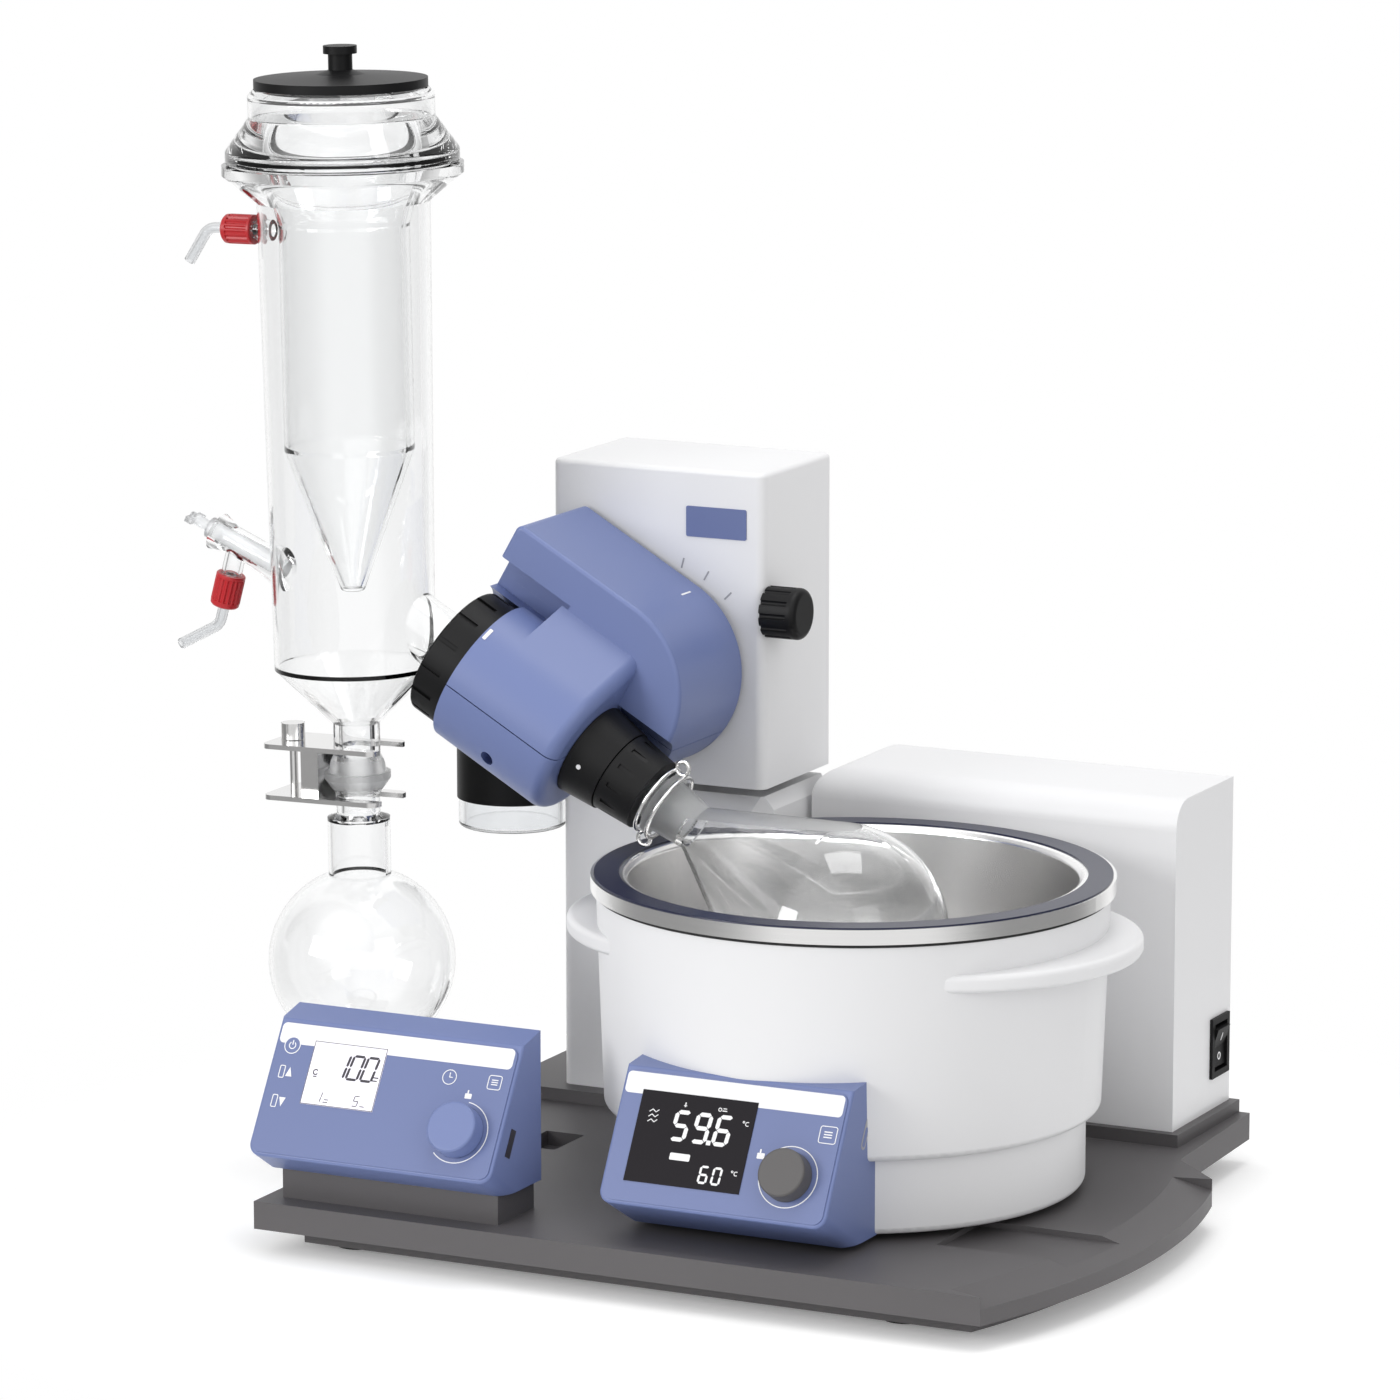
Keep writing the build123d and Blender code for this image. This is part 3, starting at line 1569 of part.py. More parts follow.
# Where the side ports of the condenser leave its wall
valve_slope = radians(valve_angle)
valve_direction = condenser_out * -cos(valve_slope) + condenser_up * sin(valve_slope)
valve_foot = condenser_foot + condenser_up * (valve_base_height - tan(valve_slope) * jacket_bottom_radius)
valve_plane = Plane(origin=valve_foot, x_dir=(0, 1, 0), z_dir=valve_direction)
side_plane = Plane(
    origin=condenser_foot + condenser_up * side_port_height, x_dir=(0, 1, 0), z_dir=condenser_out * -1
)
valve_cap_point = valve_foot + valve_direction * valve_cap_at
cap_lean = radians(valve_cap_lean)
valve_cap_down = condenser_up * -cos(cap_lean) - condenser_out * sin(cap_lean)
valve_cap_plane = Plane(origin=valve_cap_point, x_dir=(0, 1, 0), z_dir=valve_cap_down)

# Condenser jacket: flange, tube, bottom cone, stem with its ball, and three ports
with BuildPart() as condenser:
    ball_centre = (0, ball_height)
    stem_join = ball_height + sqrt(ball_radius**2 - stem_radius**2)
    ball_low = ball_height - ball_cut
    ball_low_radius = sqrt(ball_radius**2 - ball_cut**2)
    with BuildSketch(condenser_section):
        with BuildLine():
            Polyline(
                (ball_low_radius, ball_low),
                (0, ball_low),
                (0, flange_top),
                (flange_radius, flange_top),
                (flange_radius, flange_top - flange_thickness),
                (jacket_top_radius, jacket_top),
                (jacket_bottom_radius, jacket_bottom),
                (stem_radius, stem_top),
                (stem_radius, stem_join),
            )
            ThreePointArc(
                (stem_radius, stem_join), (ball_radius, ball_height), (ball_low_radius, ball_low)
            )
        make_face()
    revolve(axis=condenser_axis)
    rod(rotor_face(axis_reach), port_radius, flange_rear - axis_reach)
    rod(rotor_face(flange_rear), port_flange_radius, port_flange_thickness)
    rod(side_plane, side_port_radius, side_port_reach)
    rod(valve_plane, valve_radius, valve_length)
    taper(valve_plane.offset(valve_root), valve_root_radius, valve_radius, valve_root_length)
    taper(
        valve_plane.offset(valve_length - valve_flare_length),
        valve_radius,
        valve_flare_radius,
        valve_flare_length,
    )
    rod(valve_cap_plane, side_port_radius, valve_radius + cap_length / 2)
    with BuildSketch(condenser_section):
        with BuildLine():
            Polyline(
                (0, ball_low),
                (stem_bore, ball_low),
                (stem_bore, stem_top),
                (jacket_bottom_radius - glass_wall, jacket_bottom + glass_wall),
                (jacket_top_radius - glass_wall, jacket_top),
                (flange_radius - flange_thickness * 2, flange_top),
                (0, flange_top),
                close=True,
            )
        make_face()
    revolve(axis=condenser_axis, mode=Mode.SUBTRACT)
    rod(
        rotor_face(axis_reach),
        port_radius - port_wall,
        flange_rear + port_flange_thickness - axis_reach,
        mode=Mode.SUBTRACT,
    )
    rod(side_plane, side_port_radius - glass_wall, side_port_reach, mode=Mode.SUBTRACT)
    rod(valve_plane, valve_bore, valve_length, mode=Mode.SUBTRACT)
    rod(
        valve_cap_plane,
        side_port_radius - glass_wall,
        valve_radius + cap_length / 2,
        mode=Mode.SUBTRACT,
    )
finish(condenser, "condenser")

# Cold finger that hangs in the jacket from its own flange, open at the top
with BuildPart() as cold_finger:
    with BuildSketch(condenser_section):
        with BuildLine():
            outside = FilletPolyline(
                (neck_radius - neck_turn, collar_top),
                (neck_radius, collar_top - neck_turn),
                (neck_radius, collar_bottom),
                (finger_flange_radius, finger_shoulder),
                (finger_flange_radius, flange_top),
                (finger_radius + glass_wall * 4, flange_top),
                (finger_radius, finger_top),
                (finger_radius, finger_taper),
                (finger_tip_radius, finger_tip),
                (0, finger_tip),
                radius=glass_wall,
            )
            inside = FilletPolyline(
                (neck_radius - neck_turn - glass_wall, collar_top),
                (neck_radius - glass_wall, collar_top - neck_turn - glass_wall),
                (neck_radius - glass_wall, flange_top + glass_wall * 2),
                (finger_radius + glass_wall * 2, flange_top + glass_wall),
                (finger_radius - glass_wall, finger_top + glass_wall),
                (finger_radius - glass_wall, finger_taper + glass_wall),
                (finger_tip_radius - glass_wall, finger_tip + glass_wall),
                (0, finger_tip + glass_wall),
                radius=glass_wall,
            )
            Line(outside @ 0, inside @ 0)
            Line(outside @ 1, inside @ 1)
        make_face()
    revolve(axis=condenser_axis)
finish(cold_finger, "cold_finger")

# Domed lid with a knob, plugged into the cold finger's neck
lid_base = collar_top + run_gap
with BuildPart() as lid:
    with BuildSketch(condenser_section):
        with BuildLine():
            crown = lid_base + lid_thickness
            stem_foot = crown + lid_dome
            stem_head = stem_foot + lid_stem_height
            plug_radius = neck_radius - neck_turn - glass_wall - run_gap * 2
            Polyline(
                (0, lid_base - lid_plug_depth),
                (plug_radius, lid_base - lid_plug_depth),
                (plug_radius, lid_base),
                (lid_radius, lid_base),
                (lid_radius, crown),
                (lid_crown_radius, stem_foot),
                (lid_stem_radius, stem_foot + lid_dome),
                (lid_stem_radius, stem_head),
                (lid_knob_radius, stem_head),
                (lid_knob_radius, stem_head + lid_knob_height),
                (0, stem_head + lid_knob_height),
                close=True,
            )
        make_face()
    revolve(axis=condenser_axis)
finish(lid, "lid")

# Two red screw caps that hold the hose nipples
with BuildPart() as hose_caps:
    rod(side_plane.offset(side_port_reach), cap_radius, cap_length - cap_rim)
    rod(side_plane.offset(side_port_reach), nipple_radius, cap_length, mode=Mode.SUBTRACT)
    valve_cap_start = valve_cap_plane.offset(valve_radius + cap_length / 2)
    rod(valve_cap_start, cap_radius, cap_length - cap_rim)
    rod(valve_cap_start, nipple_radius, cap_length, mode=Mode.SUBTRACT)
finish(hose_caps, "hose_caps")


def nipple(start, first, second):
    # Bent hose nipple along two straight runs joined by an arc
    corner = start + first
    with BuildPart() as piece:
        with BuildLine() as path:
            FilletPolyline(start, corner, corner + second, radius=nipple_bend)
        with BuildSketch(Plane(origin=start, z_dir=first)):
            Circle(nipple_radius)
            Circle(nipple_bore, mode=Mode.SUBTRACT)
        sweep(path=path.line)
    return piece


# Upper nipple bends down and out, lower one out and down
upper_start = side_plane.origin - condenser_out * side_port_reach
upper_nipple = nipple(
    upper_start,
    condenser_out * -(cap_length + nipple_bend),
    condenser_out * -upper_nipple_out - condenser_up * upper_nipple_drop,
)
finish(upper_nipple, "upper_nipple")
lower_start = valve_cap_point + valve_cap_down * (valve_radius + cap_length / 2)
lower_nipple = nipple(
    lower_start,
    valve_cap_down * (cap_length + nipple_bend),
    condenser_out * -lower_nipple_out - condenser_up * lower_nipple_drop,
)
finish(lower_nipple, "lower_nipple")

# Stopcock spindle in the valve arm
with BuildPart() as valve_spindle:
    rod(valve_plane.offset(valve_length / 2), valve_bore - fit_gap, valve_length / 2 + run_gap)
    rod(valve_plane.offset(valve_length + run_gap), spindle_disc_radius, spindle_disc_height)
    rod(valve_plane.offset(valve_length + run_gap), spindle_handle_radius, spindle_length)
    with Locations(valve_plane.offset(valve_length + spindle_bar_at)):
        Box(
            spindle_bar_length,
            spindle_handle_radius,
            spindle_length - spindle_bar_at,
            align=(Align.CENTER, Align.CENTER, Align.MIN),
        )
finish(valve_spindle, "valve_spindle")

# Round receiving flask with its socket under the condenser's ball
with BuildPart() as receiver:
    socket_sphere = ball_radius + fit_gap
    socket_top = ball_height - socket_rim
    tube_top = ball_low - glass_wall
    tube_bottom = ball_height - receiver_tube_drop
    neck_bottom = tube_bottom - receiver_neck_length
    bulb_height = neck_bottom - sqrt(receiver_radius**2 - receiver_neck_radius**2)
    socket_low_radius = sqrt(socket_sphere**2 - ball_cut**2)
    neck_inner = receiver_neck_radius - glass_wall
    inner_radius = receiver_radius - glass_wall
    inner_join = bulb_height + sqrt(inner_radius**2 - neck_inner**2)
    outer_start = degrees(atan2(neck_bottom - bulb_height, receiver_neck_radius))
    inner_start = degrees(atan2(inner_join - bulb_height, neck_inner))
    with BuildSketch(condenser_section):
        with BuildLine():
            Polyline(
                (sqrt(socket_sphere**2 - socket_rim**2), socket_top),
                (socket_radius, socket_top),
                (socket_radius, ball_height - ball_cut / 2),
                (receiver_tube_radius, tube_top - glass_wall),
                (receiver_tube_radius, tube_bottom),
                (receiver_neck_radius, tube_bottom - glass_wall),
                (receiver_neck_radius, neck_bottom),
            )
            CenterArc((0, bulb_height), receiver_radius, -90, 90 + outer_start)
            Line((0, bulb_height - receiver_radius), (0, bulb_height - inner_radius))
            CenterArc((0, bulb_height), inner_radius, -90, 90 + inner_start)
            Polyline(
                (neck_inner, inner_join),
                (neck_inner, tube_bottom - glass_wall * 2),
                (stem_bore, tube_bottom - glass_wall * 2),
                (stem_bore, ball_low),
                (socket_low_radius, ball_low),
            )
            socket_angle = degrees(atan2(-ball_cut, socket_low_radius))
            rim_angle = degrees(atan2(-socket_rim, sqrt(socket_sphere**2 - socket_rim**2)))
            CenterArc(ball_centre, socket_sphere, socket_angle, rim_angle - socket_angle)
        make_face()
    revolve(axis=condenser_axis)
finish(receiver, "receiver")

# Fork clamp that holds ball and socket together
with BuildPart() as joint_clamp:
    for height, radius in ((upper_fork, stem_radius), (lower_fork, receiver_tube_radius)):
        with BuildSketch(condenser_face(height)):
            with Locations(((fork_rear + fork_front) / 2, 0)):
                RectangleRounded(fork_front - fork_rear, fork_width, fork_thickness * 2)
            Circle(radius, mode=Mode.SUBTRACT)
            with Locations((fork_front / 2, 0)):
                Rectangle(fork_front, radius * 2, mode=Mode.SUBTRACT)
            with Locations((fork_screw_at, 0)):
                Circle(fork_screw_radius + fit_gap, mode=Mode.SUBTRACT)
        extrude(amount=fork_thickness)
    with BuildSketch(condenser_face(lower_fork + fork_thickness)):
        with Locations((fork_block_rear + fork_block_width / 2, 0)):
            Rectangle(fork_block_width, fork_width / 2)
    extrude(amount=upper_fork - lower_fork - fork_thickness)
finish(joint_clamp, "joint_clamp")

# Screw with a knurled head that draws the forks together
with BuildPart() as clamp_screw:
    knob_height_at = upper_fork + fork_thickness + run_gap
    rod(
        condenser_face(lower_fork - fork_thickness, fork_screw_at),
        fork_screw_radius,
        knob_height_at - lower_fork + fork_thickness,
    )
    rod(condenser_face(knob_height_at, fork_screw_at), fork_knob_radius, fork_knob_height)
    grooves(
        condenser_face(knob_height_at, fork_screw_at),
        fork_knob_radius,
        fork_knob_ribs,
        fork_knob_groove,
        fork_knob_height,
    )
finish(clamp_screw, "clamp_screw")
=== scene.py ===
import bmesh
import bpy
import json
import math
from mathutils import Matrix, Vector


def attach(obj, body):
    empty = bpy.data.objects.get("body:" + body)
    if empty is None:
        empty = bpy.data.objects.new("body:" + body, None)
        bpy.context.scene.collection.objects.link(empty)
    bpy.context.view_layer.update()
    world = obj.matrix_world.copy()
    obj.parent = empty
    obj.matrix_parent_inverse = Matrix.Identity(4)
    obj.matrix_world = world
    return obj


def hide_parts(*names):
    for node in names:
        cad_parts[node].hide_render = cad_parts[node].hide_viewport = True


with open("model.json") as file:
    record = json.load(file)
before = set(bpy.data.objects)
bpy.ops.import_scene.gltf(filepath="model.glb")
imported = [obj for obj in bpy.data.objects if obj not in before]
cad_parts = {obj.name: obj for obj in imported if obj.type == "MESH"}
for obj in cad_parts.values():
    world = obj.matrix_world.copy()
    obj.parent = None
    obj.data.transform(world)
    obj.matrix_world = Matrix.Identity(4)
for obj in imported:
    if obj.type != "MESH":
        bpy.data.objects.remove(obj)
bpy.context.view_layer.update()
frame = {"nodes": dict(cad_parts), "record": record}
nodes = frame["nodes"]
scene = bpy.context.scene
scene.view_settings.view_transform = "Standard"
mm = 0.001
print("frame loaded:", len(nodes), "nodes")

shot = {  # fitted to the photograph
    "azimuth": 26.32, "elevation": 10.93, "distance": 4.19638,
    "target": (-0.06252, 0.0, 0.31317), "focalPixels": 6950.94, "frame": 1400, "sensor": 36.0,
}


def makeCamera(shot):
    turn, rise = math.radians(shot["azimuth"]), math.radians(shot["elevation"])
    back = Vector((math.sin(turn) * math.cos(rise), -math.cos(turn) * math.cos(rise), math.sin(rise)))
    data = bpy.data.cameras.new("shotCamera")
    data.sensor_width = shot["sensor"]
    data.lens = shot["focalPixels"] * shot["sensor"] / shot["frame"]
    data.clip_end = 50
    camera = bpy.data.objects.new("shotCamera", data)
    camera.location = Vector(shot["target"]) + back * shot["distance"]
    camera.rotation_euler = (-back).to_track_quat("-Z", "Y").to_euler()
    scene.collection.objects.link(camera)
    scene.camera = camera


makeCamera(shot)
print("camera placed")


class Wire:  # a shader socket that can be reckoned with
    def __init__(self, graph, socket):
        self.graph, self.socket = graph, socket

    def maths(self, operation, first, second=0.0):
        return self.graph.node("ShaderNodeMath", {"operation": operation}, {0: first, 1: second})

    def __add__(self, other): return self.maths("ADD", self, other)
    def __radd__(self, other): return self.maths("ADD", other, self)
    def __sub__(self, other): return self.maths("SUBTRACT", self, other)
    def __rsub__(self, other): return self.maths("SUBTRACT", other, self)
    def __mul__(self, other): return self.maths("MULTIPLY", self, other)
    def __rmul__(self, other): return self.maths("MULTIPLY", other, self)
    def __gt__(self, other): return self.maths("GREATER_THAN", self, other)
    def __lt__(self, other): return self.maths("LESS_THAN", self, other)
    def __abs__(self): return self.maths("ABSOLUTE", self)
    def orMore(self, other): return self.maths("MAXIMUM", self, other)


class Graph:
    def __init__(self, tree):
        self.tree = tree

    def node(self, kind, settings=None, sockets=None, out=0):
        made = self.tree.nodes.new(kind)
        for key, value in (settings or {}).items():
            setattr(made, key, value)
        for key, value in (sockets or {}).items():
            self.feed(made.inputs[key], value)
        return Wire(self, made.outputs[out])

    def feed(self, socket, value):
        if isinstance(value, Wire):
            self.tree.links.new(value.socket, socket)
        elif socket.type == "RGBA":
            socket.default_value = (*value[:3], 1.0)
        else:
            socket.default_value = value

    def place(self):  # object coordinates in metres
        return self.node("ShaderNodeTexCoord", out="Object")

    def vector(self, operation, first, second=(0, 0, 0), out=0):
        return self.node("ShaderNodeVectorMath", {"operation": operation}, {0: first, 1: second}, out)

    def noise(self, scale, detail=3.0, rough=0.5, vector=None):
        return self.node("ShaderNodeTexNoise", {}, {
            "Vector": vector or self.place(), "Scale": scale, "Detail": detail, "Roughness": rough})

    def ramp(self, value, low, high):  # 0 to 1, eased
        return self.node("ShaderNodeMapRange", {"interpolation_type": "SMOOTHSTEP"}, {0: value, 1: low, 2: high})

    def mix(self, factor, first, second):
        return self.node("ShaderNodeMix", {"data_type": "RGBA"}, {0: factor, 6: first, 7: second}, 2)

    def bump(self, height, distance):
        return self.node("ShaderNodeBump", {}, {"Height": height, "Distance": distance})


class Paint(Graph):  # one material round a principled shader
    def __init__(self, name, **sockets):
        self.material = bpy.data.materials.new(name)
        self.material.use_nodes = True
        super().__init__(self.material.node_tree)
        self.shader = self.tree.nodes["Principled BSDF"]
        self.put(**sockets)

    def put(self, **sockets):  # baseColor feeds "Base Color"
        for key, value in sockets.items():
            spaced = "".join(" " + c if c.isupper() else c for c in key).title()
            name = {"IOR": "IOR", "specularLevel": "Specular IOR Level"}.get(key, spaced)
            self.feed(self.shader.inputs[name], value)


def shade(colour, amount):
    return tuple(c * amount for c in colour)


plasticLook = {"cloudScale": 9.0, "grainScale": 2600.0, "grainGloss": 0.12, "cloudGloss": 0.08}


# spark grain and a slow cloud
def mouldedPlastic(name, colour, rough, grain=0.00004, cloud=0.05, shine=0.5, glow=0.0):
    look = plasticLook
    paint = Paint(name, specularLevel=shine, emissionColor=colour, emissionStrength=glow)
    drift = paint.noise(look["cloudScale"], 2.0)
    fine = paint.noise(look["grainScale"], 2.0, 0.6)
    paint.put(
        baseColor=paint.mix(drift, shade(colour, 1 - cloud), shade(colour, 1 + cloud)),
        roughness=rough + (fine - 0.5) * look["grainGloss"] + (drift - 0.5) * look["cloudGloss"],
        normal=paint.bump(fine, grain),
    )
    return paint.material


glassLook = {"tint": (0.993, 0.996, 0.997), "waveScale": 7.0, "wave": 0.012, "frost": 0.42}


# ground: frosted bands on an axis
def clearGlass(name, tint=glassLook["tint"], rough=0.0, ior=1.47, ground=()):
    look = glassLook
    paint = Paint(name, baseColor=tint, transmissionWeight=1.0, IOR=ior)
    place = paint.place()
    dull = rough + paint.noise(look["waveScale"], 2.0) * look["wave"]
    for axis, low, high in ground:
        height = paint.vector("DOT_PRODUCT", place, axis, 1)
        dull = dull + (height > low) * (height < high) * look["frost"]
    paint.put(roughness=dull)
    return paint.material


drawnLook = {"smearScale": 14.0, "dark": 0.94, "light": 1.04, "lineGloss": 0.12, "smearGloss": 0.1}
spunLook = {"lineScale": 1700, "smearScale": 11.0, "dark": 0.93, "light": 1.03, "lineGloss": 0.1, "smearGloss": 0.1}


def drawnMetal(name, colour, rough, stretch=(300.0, 300.0, 4000.0), depth=0.00001):  # lines run straight
    look = drawnLook
    paint = Paint(name, metallic=1.0)
    lines = paint.noise(1.0, 3.0, 0.6, paint.vector("MULTIPLY", paint.place(), stretch))
    smear = paint.noise(look["smearScale"], 3.0)
    paint.put(
        baseColor=paint.mix(smear, shade(colour, look["dark"]), shade(colour, look["light"])),
        roughness=rough + (lines - 0.5) * look["lineGloss"] + (smear - 0.5) * look["smearGloss"],
        normal=paint.bump(lines, depth),
    )
    return paint.material


def spunMetal(name, colour, rough, centre, depth):  # lines run round a vertical axis
    look = spunLook
    paint = Paint(name, metallic=1.0)
    place = paint.vector("SUBTRACT", paint.place(), (*centre, 0.0))
    radius = paint.vector("LENGTH", paint.vector("MULTIPLY", place, (1, 1, 0)), out=1)
    height = paint.vector("DOT_PRODUCT", place, (0, 0, 1), 1)
    scale = look["lineScale"]
    grooves = paint.node("ShaderNodeCombineXYZ", {}, {0: radius * scale, 1: height * scale})
    lines = paint.noise(1.0, 3.0, 0.65, grooves)
    smear = paint.noise(look["smearScale"], 3.0)
    paint.put(
        baseColor=paint.mix(lines, shade(colour, look["dark"]), shade(colour, look["light"])),
        roughness=rough + (lines - 0.5) * look["lineGloss"] + (smear - 0.5) * look["smearGloss"],
        normal=paint.bump(lines, depth),
    )
    return paint.material


pivotX, pivotZ = -131.0, 316.0  # the head's pivot in the tower
rotorTilt = math.radians(30)
along = Vector((math.cos(rotorTilt), 0, -math.sin(rotorTilt)))  # the rotor's axis
upward = Vector((math.sin(rotorTilt), 0, math.cos(rotorTilt)))
lean = math.radians(0.97)
columnUp = Vector((-math.sin(lean), 0, math.cos(lean)))  # the condenser's axis
columnOut = Vector((math.cos(lean), 0, math.sin(lean)))
columnFoot = Vector((-289.8, -21.0, 375.0052))


def headPoint(x, y, z):
    return Vector((pivotX, y, pivotZ)) + along * x + upward * z


def columnPoint(height, out=0.0):
    return columnFoot + columnUp * height + columnOut * out


def band(axis, start, end):  # a frosted band between two points, in metres along an axis
    return (tuple(axis), start.dot(axis) * mm, end.dot(axis) * mm)


coneBand = band(along, headPoint(74, 0, 0), headPoint(100, 0, 0))
ballBand = band(columnUp, columnPoint(-132), columnPoint(-114))
finishes = {
    "white_shell": mouldedPlastic("whiteShell", (0.80, 0.80, 0.81), 0.4, 0.00003, 0.012),
    "blue_shell": mouldedPlastic("blueShell", (0.148, 0.192, 0.392), 0.4, 0.00004, 0.03),
    "blue_panel": mouldedPlastic("bluePanel", (0.126, 0.163, 0.336), 0.38, 0.00002, 0.02),
    "dark_grey": mouldedPlastic("darkBase", (0.088, 0.083, 0.086), 0.5, 0.00006, 0.07),
    "black_plastic": mouldedPlastic("blackGrip", (0.006, 0.006, 0.0065), 0.45, 0.00004, 0.1, 0.19),
    "grey_knob": mouldedPlastic("greyDial", (0.082, 0.078, 0.078), 0.5, 0.00004, 0.06),
    "rubber": mouldedPlastic("rubberFoot", (0.014, 0.014, 0.014), 0.8, 0.0001, 0.1),
    "seal": mouldedPlastic("paleSeal", (0.7, 0.7, 0.66), 0.5),
    "red_cap": mouldedPlastic("redCap", (0.50, 0.014, 0.020), 0.36, 0.00004, 0.06),
    # navy: a dark bluish ring on the pot's steel flange, a painted reflection of dark surroundings in the steel
    "navy": mouldedPlastic("darkReflectionRing", (0.014, 0.017, 0.044), 0.3, 0.00001, 0.05, 0.3),
    "board": mouldedPlastic("circuitBoard", (0.01, 0.12, 0.05), 0.4),
    "glass": clearGlass("clearGlass", ground=(coneBand, ballBand)),
    "clear_cup": clearGlass("clearCup", (0.93, 0.94, 0.95), 0.06, 1.45),
    "milky": clearGlass("milkyTube", (0.86, 0.87, 0.88), 0.32, 1.4),
    "steel": drawnMetal("polishedSteel", (0.78, 0.775, 0.77), 0.16, (400.0, 400.0, 400.0), 0.000006),
    "chrome": drawnMetal("brightSteel", (0.82, 0.82, 0.825), 0.12),
    "aluminium": drawnMetal("millAluminium", (0.6, 0.61, 0.63), 0.35),
    "brass": drawnMetal("turnedBronze", (0.6, 0.42, 0.18), 0.3),
    "display": mouldedPlastic("blackDisplay", (0.012, 0.010, 0.013), 0.16, 0.0, 0.05, 0.12),
    # paleDisplay glows faintly in its own colour: partly its backlight, partly painted light that lifts the shade
    # on its face
    "pale_display": mouldedPlastic("paleDisplay", (0.86, 0.84, 0.92), 0.3, 0.0, 0.02, 0.5, 0.16),
}
ownFinish = {  # nodes whose brushing follows their own axis
    "bath_pot": spunMetal("spunPot", (0.96, 0.955, 0.95), 0.24, (0.05, -0.021), 0.000002),
}
for entry in frame["record"]["subparts"]:
    node = nodes[entry["node"]]
    node.data.materials.clear()
    node.data.materials.append(ownFinish.get(entry["node"]) or finishes[entry["material_slot"]])
inkWhite = mouldedPlastic("inkWhite", (0.84, 0.84, 0.85), 0.4, 0.00001, 0.01)
inkGrey = mouldedPlastic("inkGrey", (0.36, 0.36, 0.38), 0.5, 0.00001, 0.03)
inkDark = mouldedPlastic("inkDark", (0.016, 0.013, 0.022), 0.4, 0.0, 0.05)
print("finishes made for", len(nodes), "nodes")


def planeAt(origin, xDir, zDir):  # local axes of a face, origin in millimetres
    x, z = Vector(xDir).normalized(), Vector(zDir).normalized()
    turn = Matrix((x, z.cross(x), z)).transposed().to_4x4()
    return Matrix.Translation(Vector(origin) * mm) @ turn


def facePlane(panel):  # x across, y up the slope, z out of the face
    slope = math.radians(panel["tilt"])
    return planeAt((panel["centre"], *panel["foot"]), (1, 0, 0), (0, -math.cos(slope), math.sin(slope)))


def axisPlane(start, direction):
    across = Vector((0, 1, 0)) if abs(direction.y) < 0.9 else Vector((1, 0, 0))
    return planeAt(start, across, direction)


def arcLoop(cx, cy, radius, start, end, steps):
    angles = [math.radians(start + (end - start) * i / steps) for i in range(steps + 1)]
    return [(cx + radius * math.cos(a), cy + radius * math.sin(a)) for a in angles]


def roundRect(x0, y0, x1, y1, radius=0.0, steps=5):
    if radius <= 0:
        return [(x0, y0), (x1, y0), (x1, y1), (x0, y1)]
    loop = []
    for cx, cy, start in ((x1 - radius, y0 + radius, -90), (x1 - radius, y1 - radius, 0),
                          (x0 + radius, y1 - radius, 90), (x0 + radius, y0 + radius, 180)):
        loop += arcLoop(cx, cy, radius, start, start + 90, steps)
    return loop


def strip(outer, inner, closed=True):  # quads between two loops of equal length
    count = len(outer)
    last = count if closed else count - 1
    return [[outer[i], outer[(i + 1) % count], inner[(i + 1) % count], inner[i]] for i in range(last)]


def ringOf(cx, cy, radius, width, start=0.0, end=360.0, steps=48):
    outer = arcLoop(cx, cy, radius, start, end, steps)
    return strip(outer, arcLoop(cx, cy, radius - width, start, end, steps), False)


def boxLine(x0, y0, x1, y1, radius, width):
    return strip(roundRect(x0, y0, x1, y1, radius),
                 roundRect(x0 + width, y0 + width, x1 - width, y1 - width, radius - width))


def bar(x0, y0, x1, y1, width):  # a straight line of some width
    run = Vector((x1 - x0, y1 - y0)).normalized()
    side = Vector((-run.y, run.x)) * width / 2
    return [(x0 - side.x, y0 - side.y), (x1 - side.x, y1 - side.y),
            (x1 + side.x, y1 + side.y), (x0 + side.x, y0 + side.y)]


def path(points, width):  # a bent line
    return [bar(*first, *second, width) for first, second in zip(points, points[1:])]


segmentBars = {
    "a": ((0, 1), (1, 1)), "b": ((1, 0.5), (1, 1)), "c": ((1, 0), (1, 0.5)), "d": ((0, 0), (1, 0)),
    "e": ((0, 0), (0, 0.5)), "f": ((0, 0.5), (0, 1)), "g": ((0, 0.5), (1, 0.5))}
segmentLit = {"0": "abcdef", "1": "bc", "5": "afgcd", "6": "afgecd", "9": "abcdfg"}


def sevenSegments(text, x, y, height, weight, pitch, slant=0.0):  # display number from its lower left corner
    wide = height * 0.5
    shapes, at = [], x
    for mark in text:
        if mark == ".":
            dot = at - (pitch - wide) / 2
            shapes.append(roundRect(dot - weight * 0.55, y - weight * 0.5, dot + weight * 0.55, y + weight * 0.6))
            continue
        for key in segmentLit[mark]:
            (ax, ay), (bx, by) = segmentBars[key]
            p, q = Vector((ax * wide, ay * height)), Vector((bx * wide, by * height))
            run = (q - p).normalized()
            side = Vector((-run.y, run.x)) * weight / 2
            p, q = p + run * weight * 0.1, q - run * weight * 0.1
            tip = run * weight / 2
            loop = [p, p + tip - side, q - tip - side, q, q - tip + side, p + tip + side]
            shapes.append([(at + v.x + v.y * slant, y + v.y) for v in loop])
        at += pitch
    return shapes


def addPiece(name, mesh, finish, body, smooth=False):
    bmesh.ops.recalc_face_normals(mesh, faces=mesh.faces)
    data = bpy.data.meshes.new(name)
    mesh.to_mesh(data)
    mesh.free()
    data.materials.append(finish)
    for face in data.polygons:
        face.use_smooth = smooth
    piece = bpy.data.objects.new(name, data)
    scene.collection.objects.link(piece)
    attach(piece, body)
    return piece


